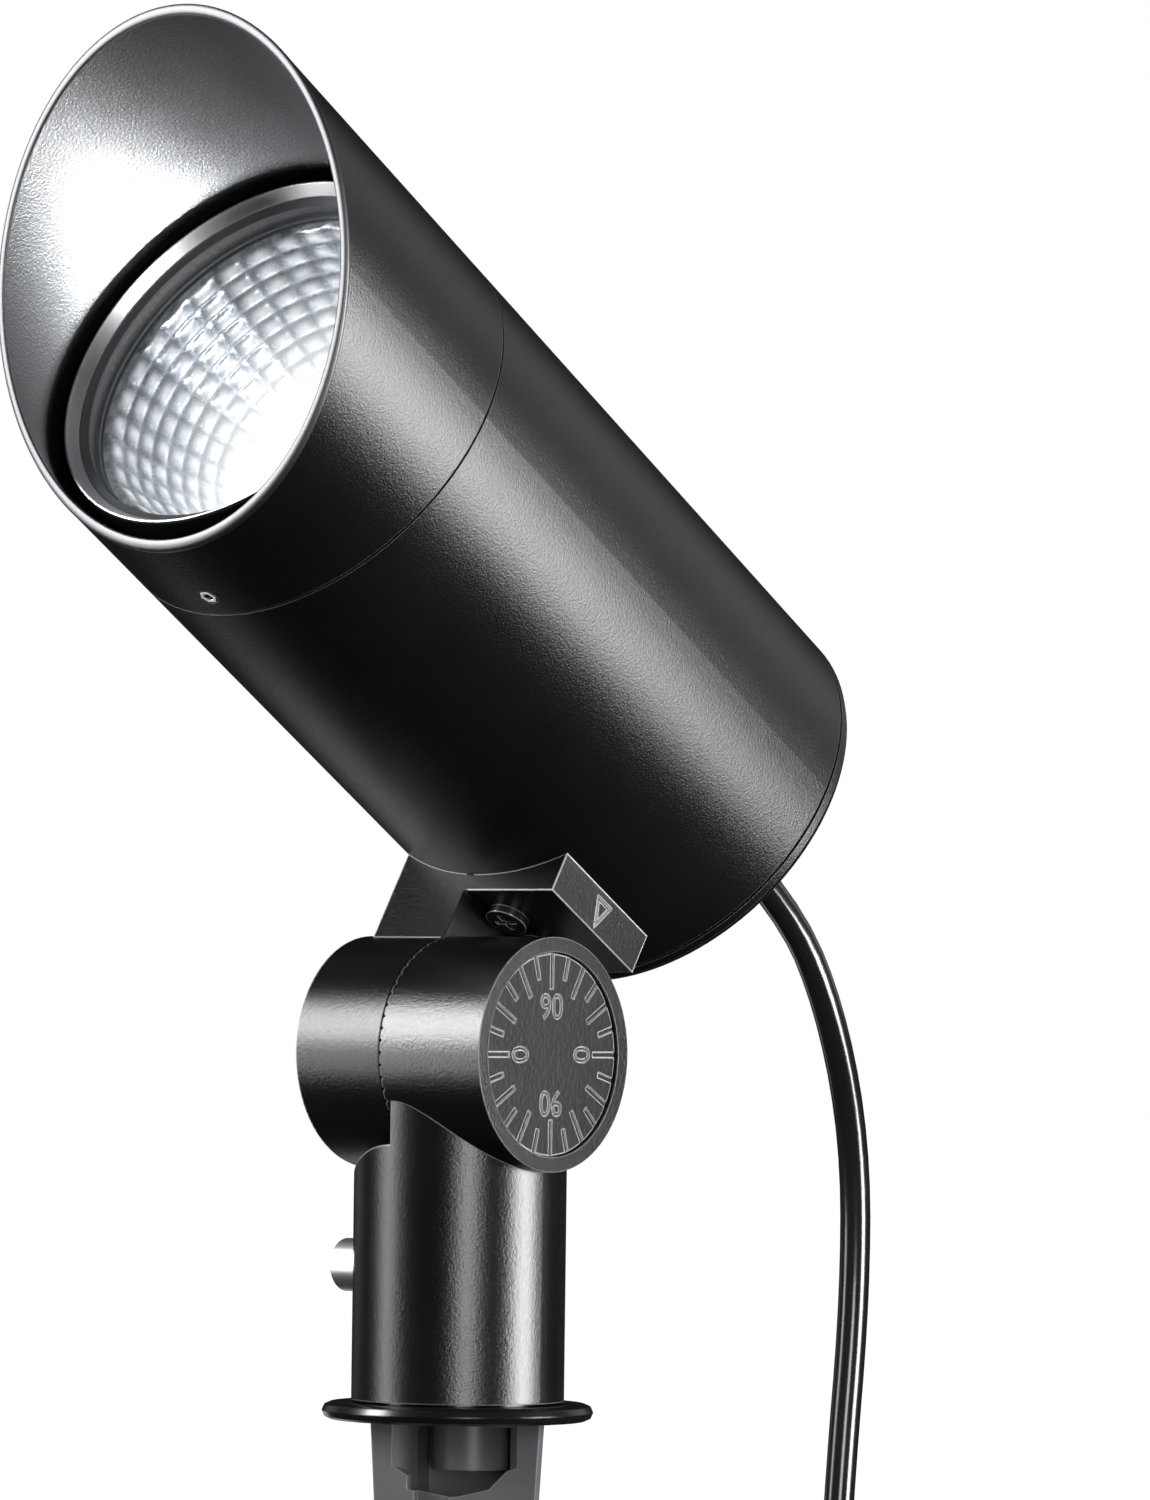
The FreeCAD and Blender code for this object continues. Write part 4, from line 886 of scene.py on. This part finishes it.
def grown(name, tree, values):
    """The plain mesh that a Geometry Nodes tree makes."""
    holder = bpy.data.objects.new(name, bpy.data.meshes.new(name + "_seed"))
    modifier = holder.modifiers.new("tree", "NODES")
    modifier.node_group = tree
    sockets = {s.name: s.identifier for s in tree.interface.items_tree if s.in_out == "INPUT"}
    for title, value in values.items():
        modifier[sockets[title]] = value
    return evaluated(holder, name)


bowl_mesh = grown("reflector_bowl", bowl, {"Material": reflector_metal})
bm = bmesh.new()
bm.from_mesh(bowl_mesh)
inner_edge = [e for e in bm.edges if e.is_boundary]
grown_edge = bmesh.ops.extrude_edge_only(bm, edges=inner_edge)
outer = [v for v in grown_edge["geom"] if isinstance(v, bmesh.types.BMVert)]
for v in outer:
    flat = Vector((v.co.x, v.co.y, 0))
    v.co += flat.normalized() * (RIM_LIP if v.co.z > RIM_ABOVE else THROAT_LIP) * MM
bmesh.ops.recalc_face_normals(bm, faces=bm.faces)
bm.to_mesh(bowl_mesh)
bm.free()
bowl_mesh.transform(head_frame)
inward = bowl_mesh.polygons[len(bowl_mesh.polygons) // 3]
foot = head_frame.inverted() @ inward.center
radial = (head_frame.to_3x3() @ Vector((foot.x, foot.y, 0))).normalized()
if inward.normal.dot(radial) > 0:
    bowl_mesh.flip_normals()
reflector = add_piece("reflector_bowl", bowl_mesh, "head", "reflector")
print("reflector faces", len(bowl_mesh.polygons))

# %% [markdown]
# The dial is a shallow disc with grooves for its scale. Geometry Nodes set one bar after another on a
# circle. Each bar looks away from the middle, and a last step turns the whole ring.

# %% Tick tree
ticks = bpy.data.node_groups.new("ring_of_ticks", "GeometryNodeTree")
tree_socket(ticks, "Geometry", "NodeSocketGeometry", way="OUTPUT")
tree_socket(ticks, "Count", "NodeSocketInt", 12)
for title, value in (("Radius", 0.017), ("Length", 0.006), ("Width", 0.0011), ("Turn", 0.0)):
    tree_socket(ticks, title, "NodeSocketFloat", value)
tree_socket(ticks, "Material", "NodeSocketMaterial")
entry = ticks.nodes.new("NodeGroupInput")
leave = ticks.nodes.new("NodeGroupOutput")
circle = ticks.nodes.new("GeometryNodeMeshCircle")
ticks.links.new(entry.outputs["Count"], circle.inputs["Vertices"])
ticks.links.new(entry.outputs["Radius"], circle.inputs["Radius"])
bar = ticks.nodes.new("GeometryNodeMeshCube")
bar_size = ticks.nodes.new("ShaderNodeCombineXYZ")
ticks.links.new(entry.outputs["Length"], bar_size.inputs["X"])
ticks.links.new(entry.outputs["Width"], bar_size.inputs["Y"])
bar_size.inputs["Z"].default_value = 0.002
ticks.links.new(bar_size.outputs[0], bar.inputs["Size"])
where = ticks.nodes.new("GeometryNodeInputPosition")
facing = ticks.nodes.new("FunctionNodeAlignRotationToVector")
facing.axis = "X"
ticks.links.new(where.outputs[0], facing.inputs["Vector"])
scatter = ticks.nodes.new("GeometryNodeInstanceOnPoints")
ticks.links.new(circle.outputs[0], scatter.inputs["Points"])
ticks.links.new(bar.outputs[0], scatter.inputs["Instance"])
ticks.links.new(facing.outputs[0], scatter.inputs["Rotation"])
swing = ticks.nodes.new("GeometryNodeTransform")
spin = ticks.nodes.new("ShaderNodeCombineXYZ")
ticks.links.new(entry.outputs["Turn"], spin.inputs["Z"])
ticks.links.new(scatter.outputs[0], swing.inputs["Geometry"])
ticks.links.new(spin.outputs[0], swing.inputs["Rotation"])
real = ticks.nodes.new("GeometryNodeRealizeInstances")
dress = ticks.nodes.new("GeometryNodeSetMaterial")
ticks.links.new(swing.outputs[0], real.inputs[0])
ticks.links.new(real.outputs[0], dress.inputs["Geometry"])
ticks.links.new(entry.outputs["Material"], dress.inputs["Material"])
ticks.links.new(dress.outputs[0], leave.inputs[0])
print("tick tree", len(ticks.nodes), "nodes")

# %% [markdown]
# What will be cut is made first. Long ticks and short ones are two runs of the tree, and the built-in
# font gives the digits. Everything is drawn flat, with the dial's face upwards.

# %% Grooves and digits
DIAL_RADIUS = 20.1
DIAL_FACE = 23.0
GROOVE_MIDDLE = DIAL_FACE + 0.65
DIGIT_SIZE = 7.2 * MM
DIGIT_DEPTH = 1.0 * MM
TICK_OVERRUN = 1.0
TICK_WIDTH = 1.05 * MM
TICK_COUNT = 12


def digits(text, place):
    """A number as a solid mesh."""
    curve = bpy.data.curves.new(text, "FONT")
    curve.body = text
    curve.size = DIGIT_SIZE
    curve.align_x = "CENTER"
    curve.align_y = "CENTER"
    curve.extrude = DIGIT_DEPTH
    curve.resolution_u = 4
    mesh = evaluated(bpy.data.objects.new(text, curve), text)
    mesh.transform(place)
    return mesh


def number_at(x, y, turn):
    """The place of a number on the dial's face, in millimetres and radians."""
    return Matrix.Translation(Vector((x, y, GROOVE_MIDDLE)) * MM) @ Matrix.Rotation(turn, 4, "Z")


cutters = []
for inner, turn in ((0.645, 0.0), (0.76, math.pi / TICK_COUNT)):
    reach = DIAL_RADIUS * (1 - inner) + TICK_OVERRUN
    mesh = grown("ticks", ticks, {
        "Count": TICK_COUNT, "Radius": (DIAL_RADIUS * inner + reach / 2) * MM,
        "Length": reach * MM, "Width": TICK_WIDTH, "Turn": turn, "Material": dial_black,
    })
    mesh.transform(Matrix.Translation((0, 0, GROOVE_MIDDLE * MM)))
    cutters.append(mesh)
cutters.append(digits("90", number_at(0, 9.2, 0)))
cutters.append(digits("90", number_at(0, -9.4, math.pi)))
cutters.append(digits("0", number_at(-9.3, 0, math.pi / 2)))
cutters.append(digits("0", number_at(9.3, 0, -math.pi / 2)))
print("cutters", len(cutters))

# %% [markdown]
# The disc is turned like the bezel, and its tiny hole is merged into one point. Then a Boolean for
# each cutter leaves the grooves, and the finished dial is stood up on the hinge, facing +X.

# %% Cut the dial
DIAL_BACK = 20.7
DIAL_BREAK = 0.25
DIAL_HOLE = 0.02
DIAL_CENTRE = Matrix.Translation(HINGE) @ Matrix((
    (0, 0, 1, 0), (1, 0, 0, 0), (0, 1, 0, 0), (0, 0, 0, 1),
))
disc = turned("dial_disc", [
    (DIAL_HOLE, DIAL_BACK, 0), (DIAL_RADIUS, DIAL_BACK, 0), (DIAL_RADIUS, DIAL_FACE - DIAL_BREAK, 0),
    (DIAL_RADIUS - DIAL_BREAK, DIAL_FACE, 0), (DIAL_HOLE, DIAL_FACE, 0),
], (dial_black,), Matrix())
bm = bmesh.new()
bm.from_mesh(disc)
bmesh.ops.remove_doubles(bm, verts=bm.verts, dist=0.05 * MM)
bmesh.ops.recalc_face_normals(bm, faces=bm.faces)
bm.to_mesh(disc)
bm.free()
dial = bpy.data.objects.new("dial_plate", disc)
tools = []
for index, mesh in enumerate(cutters):
    mesh.materials.clear()
    mesh.materials.append(dial_black)
    tool = bpy.data.objects.new(f"cutter_{index}", mesh)
    bpy.context.scene.collection.objects.link(tool)
    cut = dial.modifiers.new("cut", "BOOLEAN")
    cut.operation = "DIFFERENCE"
    cut.solver = "EXACT"
    cut.use_self = index > 1
    cut.object = tool
    tools.append(tool)
dial_mesh = evaluated(dial, "dial_plate")
for tool in tools:
    bpy.data.objects.remove(tool)
dial_mesh.transform(DIAL_CENTRE)
dial_mesh.set_sharp_from_angle(angle=CREASE)
dial_plate = add_piece("dial_plate", dial_mesh, "stem", "dial_cap")
print("dial faces", len(dial_mesh.polygons))

# %% [markdown]
# The snap button's spring is squeezed when the button is pressed. A helix is drawn as a smooth curve
# in the room that the CAD keeps for it.

# %% Snap spring
SPRING_RADIUS = 3.6
SPRING_WIRE = 0.45
SPRING_TURNS = 4.5
SPRING_STEPS = 54
low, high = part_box("snap_spring")
spring_start, spring_end = low[0] + SPRING_WIRE * MM, high[0] - SPRING_WIRE * MM
spring_middle = (low[2] + high[2]) / 2
spring_route = []
for i in range(SPRING_STEPS + 1):
    done = i / SPRING_STEPS
    angle = 2 * math.pi * SPRING_TURNS * done
    spring_route.append(Vector((
        spring_start + (spring_end - spring_start) * done,
        SPRING_RADIUS * MM * math.cos(angle),
        spring_middle + SPRING_RADIUS * MM * math.sin(angle),
    )))
spring_mesh = evaluated(nurbs("spring_line", spring_route, SPRING_WIRE * MM), "button_spring")
spring_mesh.polygons.foreach_set("use_smooth", [True] * len(spring_mesh.polygons))
spring_mesh.materials.clear()
spring_mesh.materials.append(plated_steel)
spring = add_piece("button_spring", spring_mesh, "stem", "snap_spring")
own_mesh(spring)

# %% [markdown]
# The plug is moulded rubber, with a slim neck and a broad front. Its half width and half depth are
# given at a few places along its length and eased between them. Two small rules then move its skin: a
# raised V runs back from the pins, and fine ridges sit on the neck for the fingers.

# %% Plug outline
PLUG_WIDTHS = ((0.0, 8.4), (5.5, 7.7), (12.5, 9.4), (18.8, 11.7), (32.6, 11.7), (33.8, 10.5))
PLUG_DEPTHS = ((0.0, 7.5), (8.0, 7.2), (18.0, 12.0), (32.6, 12.0), (33.8, 10.8))
PLUG_LENGTH = PLUG_WIDTHS[-1][0]
SQUARENESS = 0.45
VEE_STARTS = 9.0
VEE_HALF_WIDTH = 7.0
VEE_HEIGHT = 0.9
RIDGES_FROM, RIDGES_TO = 2.4, 7.6
RIDGES_HALF_WIDTH = 5.2
RIDGE_DEPTH = 0.45
RIDGE_PITCH = 1.3


def along_table(table, at):
    """The value at a place, eased between the table's corners."""
    for (z0, v0), (z1, v1) in zip(table, table[1:]):
        if at <= z1:
            t = (at - z0) / (z1 - z0)
            return v0 + (v1 - v0) * t * t * (3 - 2 * t)
    return table[-1][1]


def plug_skin(angle, at):
    """Across and up from the plug's middle line, in millimetres, at a place along it."""
    c, n = math.cos(angle), math.sin(angle)
    x = math.copysign(abs(c) ** SQUARENESS, c) * along_table(PLUG_WIDTHS, at)
    z = math.copysign(abs(n) ** SQUARENESS, n) * along_table(PLUG_DEPTHS, at)
    vee = VEE_HALF_WIDTH * (at - VEE_STARTS) / (PLUG_LENGTH - VEE_STARTS)
    if n > 0.3 and at > VEE_STARTS and abs(x) < vee:
        z += VEE_HEIGHT * math.sin(math.pi / 2 * (1 - abs(x) / vee)) ** 0.5
    if abs(n) > 0.5 and RIDGES_FROM < at < RIDGES_TO and abs(x) < RIDGES_HALF_WIDTH:
        wave = 0.5 + 0.5 * math.cos(2 * math.pi * at / RIDGE_PITCH)
        z -= math.copysign(RIDGE_DEPTH * wave, n)
    return x, z


print("plug front", tuple(round(v, 2) for v in plug_skin(math.pi / 4, PLUG_LENGTH)))

# %% [markdown]
# Many sections along the length, each a ring of corners on that outline, are joined by a skin and
# closed at both ends. The plug lies on the floor with its neck towards the coil.

# %% Plug body
PLUG_AT = Vector((30.0, 12.0, -148.0))
PLUG_SECTIONS = 110
PLUG_AROUND = 88
bm = bmesh.new()
sections = []
for k in range(PLUG_SECTIONS + 1):
    at = PLUG_LENGTH * k / PLUG_SECTIONS
    section = []
    for i in range(PLUG_AROUND):
        x, z = plug_skin(2 * math.pi * i / PLUG_AROUND, at)
        section.append(bm.verts.new(Vector((PLUG_AT.x + x, PLUG_AT.y - at, PLUG_AT.z + z)) * MM))
    sections.append(section)
skin_rings(bm, sections, closed=False)
bm.faces.new(sections[0])
bm.faces.new(sections[-1])
plug_mesh = outward_mesh(bm, "plug_shell")
plug_mesh.set_sharp_from_angle(angle=math.radians(50))
plug_mesh.materials.append(plug_rubber)
plug_shell = add_piece("plug_shell", plug_mesh, "stem", "plug_body")
print("plug faces", len(plug_mesh.polygons))

# %% [markdown]
# A cable tie holds the coil. Its band goes round the turns where they lie, as a rectangle with round
# corners. A small section is swept round that line. The line holds, for each step, the middle of its
# corner and the way outwards from there.

# %% Band of the cable tie
TIE_ANGLE = math.radians(215)
TIE_NEAR, TIE_FAR = 25.9, 45.0
TIE_LOW, TIE_HIGH = -159.2, -146.6
TIE_CORNER = 3.0
TIE_WIDTH = 3.6
CORNER_STEPS = 6
BAND_SECTION = ((0.0, -1), (0.0, 1), (0.65, 0.94), (0.8, 0.8), (0.8, -0.8), (0.65, -0.94))
tie_line = []
for cx, cz, first in (
    (TIE_FAR - TIE_CORNER, TIE_HIGH - TIE_CORNER, 0),
    (TIE_NEAR + TIE_CORNER, TIE_HIGH - TIE_CORNER, 90),
    (TIE_NEAR + TIE_CORNER, TIE_LOW + TIE_CORNER, 180),
    (TIE_FAR - TIE_CORNER, TIE_LOW + TIE_CORNER, 270),
):
    for step in range(CORNER_STEPS + 1):
        angle = math.radians(first + 90 * step / CORNER_STEPS)
        tie_line.append((cx, cz, math.cos(angle), math.sin(angle)))
bm = bmesh.new()
hoops = []
for cx, cz, c, n in tie_line:
    hoop = []
    for reach, side in BAND_SECTION:
        r = cx + (TIE_CORNER + reach) * c
        z = cz + (TIE_CORNER + reach) * n
        hoop.append(bm.verts.new(Vector((r, side * TIE_WIDTH / 2, z)) * MM))
    hoops.append(hoop)
skin_rings(bm, hoops)
print("band faces", len(bm.faces))

# %% [markdown]
# The band ends in a small square head with a cut-off tail. Both are blocks with softened edges, and
# they join the band's mesh before it is turned to its place on the coil.

# %% Head and tail of the tie
HEAD_SIDES, TAIL_SIDES = (5.6, 5.2, 3.2), (6.0, 3.4, 0.8)
TAIL_OFFSET = (5.0, 0, 0.5)
BLOCK_ROUND = 0.35 * MM
head_at = Vector(((TIE_NEAR + TIE_FAR) / 2, 0, TIE_HIGH + 1.4))
for offset, sides in ((Vector(), HEAD_SIDES), (Vector(TAIL_OFFSET), TAIL_SIDES)):
    block = bmesh.ops.create_cube(bm, size=1.0)
    for v in block["verts"]:
        v.co = (head_at + offset + Vector([a * b for a, b in zip(v.co, sides)])) * MM
    edges = list({e for v in block["verts"] for e in v.link_edges})
    bmesh.ops.bevel(bm, geom=edges, offset=BLOCK_ROUND, segments=3, profile=0.5, affect="EDGES")
coil_place = Matrix.Translation(Vector((*COIL_CENTRE, 0)) * MM) @ Matrix.Rotation(TIE_ANGLE, 4, "Z")
tie_mesh = outward_mesh(bm, "cable_tie", coil_place)
tie_mesh.polygons.foreach_set("use_smooth", [True] * len(tie_mesh.polygons))
tie_mesh.set_sharp_from_angle(angle=math.radians(30))
tie_mesh.materials.append(gland_nylon)
cable_tie = add_piece("cable_tie", tie_mesh, "stem", "coil_tie")
print("tie faces", len(tie_mesh.polygons))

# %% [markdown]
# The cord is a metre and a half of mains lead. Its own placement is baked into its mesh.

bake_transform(cord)

# %% [markdown]
# The stage is a white floor at the height of the stake's tip. Only the floor is lit by the sun lamp,
# so it stays white, and it is kept out of the reflections, because a black object needs dark
# surroundings with a few bright panels in them to show its form.

# %% Floor
def stage_white(name):
    made, _, shader = new_material(name)
    shader.inputs["Base Color"].default_value = (0.93, 0.93, 0.93, 1)
    shader.inputs["Roughness"].default_value = 0.9
    shader.inputs["Specular IOR Level"].default_value = 0.0
    return made


bm = bmesh.new()
bmesh.ops.create_grid(bm, x_segments=1, y_segments=1, size=14)
bmesh.ops.translate(bm, verts=bm.verts, vec=(0, 0, FLOOR_LEVEL * MM))
floor_mesh = bpy.data.meshes.new("floor")
bm.to_mesh(floor_mesh)
bm.free()
floor = bpy.data.objects.new("floor", floor_mesh)
bpy.context.scene.collection.objects.link(floor)
floor.data.materials.append(stage_white("floor_white"))
floor.visible_glossy = False
floor.visible_diffuse = False
print("floor at", FLOOR_LEVEL, "mm")

# %% [markdown]
# A round black bar shows light only as long bright stripes, one for each panel that it mirrors. The
# two strong soft panels stand far to the right and far to the left. A weaker one in front lights what
# faces the camera, and small weak ones lift the lower left edge and the back.

# %% Studio panels
MIDDLE = Vector((0, 0, 0.12))


def panel(name, across, towards, up, width, height, power, distance=1.0):
    """A soft panel seen from the object towards a mix of the camera's three directions."""
    light = bpy.data.lights.new(name, "AREA")
    light.shape = "RECTANGLE"
    light.size = width
    light.size_y = height
    light.energy = power
    lamp = bpy.data.objects.new(name, light)
    bpy.context.scene.collection.objects.link(lamp)
    way = (level * across + back * towards + upright * up).normalized()
    centre = MIDDLE + way * distance
    aim = (-way).to_track_quat("-Z", "Y")
    lamp.matrix_world = Matrix.Translation(centre) @ aim.to_matrix().to_4x4()
    lamp.visible_camera = False
    return lamp


panel("right_panel", 0.96, 0.27, -0.06, 0.44, 0.62, 21)
panel("left_panel", -0.93, 0.14, 0.34, 0.32, 0.50, 14)
panel("low_left_panel", -0.96, 0.12, -0.12, 0.30, 0.40, 2.5)
panel("front_panel", 0.15, 1.0, 0.02, 0.30, 0.6, 6)
panel("right_back_panel", 0.70, -0.62, 0.34, 0.5, 0.7, 0.6)
panel("left_back_panel", -0.62, -0.75, 0.25, 0.4, 0.9, 0.3)
panel("low_back_panel", -0.30, -0.78, -0.55, 0.14, 0.14, 0.045, distance=0.4)
print("panels", len(bpy.data.lights))

# %% [markdown]
# The floor has a sun lamp of its own with a very soft shadow. Light linking keeps that sun off the
# lamp. The surroundings are white for the camera and almost dark for everything else.

# %% Floor light and surroundings
DARK_ROOM, WHITE_ROOM = 0.015, 1.0
sun = bpy.data.lights.new("floor_sun", "SUN")
sun.energy = 3.5
sun.angle = math.radians(70)
sun_lamp = bpy.data.objects.new("floor_sun", sun)
bpy.context.scene.collection.objects.link(sun_lamp)
only_floor = bpy.data.collections.new("only_floor")
only_floor.objects.link(floor)
sun_lamp.light_linking.receiver_collection = only_floor

world = bpy.data.worlds.new("white_room")
world.use_nodes = True
tree = world.node_tree
ground = tree.nodes["Background"]
path = tree.nodes.new("ShaderNodeLightPath")
dim = tree.nodes.new("ShaderNodeMapRange")
tree.links.new(path.outputs["Is Camera Ray"], dim.inputs["Value"])
dim.inputs["To Min"].default_value = DARK_ROOM
dim.inputs["To Max"].default_value = WHITE_ROOM
tree.links.new(dim.outputs["Result"], ground.inputs["Strength"])
ground.inputs["Color"].default_value = (1, 1, 1, 1)
bpy.context.scene.world = world
bpy.context.scene.view_settings.view_transform = "Standard"
print("surroundings", world.name)

# %% [markdown]
# The lamp's own light comes from the chip at the bottom of the bowl. It passes the clear glass and
# fills the inside of the shroud, and it is parented to the head so that it tilts with it. The bowl
# isn't lit by it, because the bowl's shine is already painted into its own material as a glow.

# %% Lamp glow
CHIP_AHEAD = 89.5 * MM
glow = bpy.data.lights.new("lamp_glow", "AREA")
glow.shape = "DISK"
glow.size = 20 * MM
glow.energy = 0.95
glow.spread = math.radians(160)
glow.color = (0.95, 0.98, 1.0)
glow_lamp = bpy.data.objects.new("lamp_glow", glow)
bpy.context.scene.collection.objects.link(glow_lamp)
over_chip = Matrix.Translation((0, 0, CHIP_AHEAD)) @ Matrix.Rotation(math.pi, 4, "X")
glow_lamp.matrix_world = head_frame @ over_chip
glow_lamp.visible_camera = False
lit_by_lamp = bpy.data.collections.new("lit_by_lamp")
for thing in (frame["nodes"]["glare_shroud"], bezel):
    lit_by_lamp.objects.link(thing)
glow_lamp.light_linking.receiver_collection = lit_by_lamp
glow_lamp.parent = frame["bodies"]["head"]
print("lights", len(bpy.data.lights))
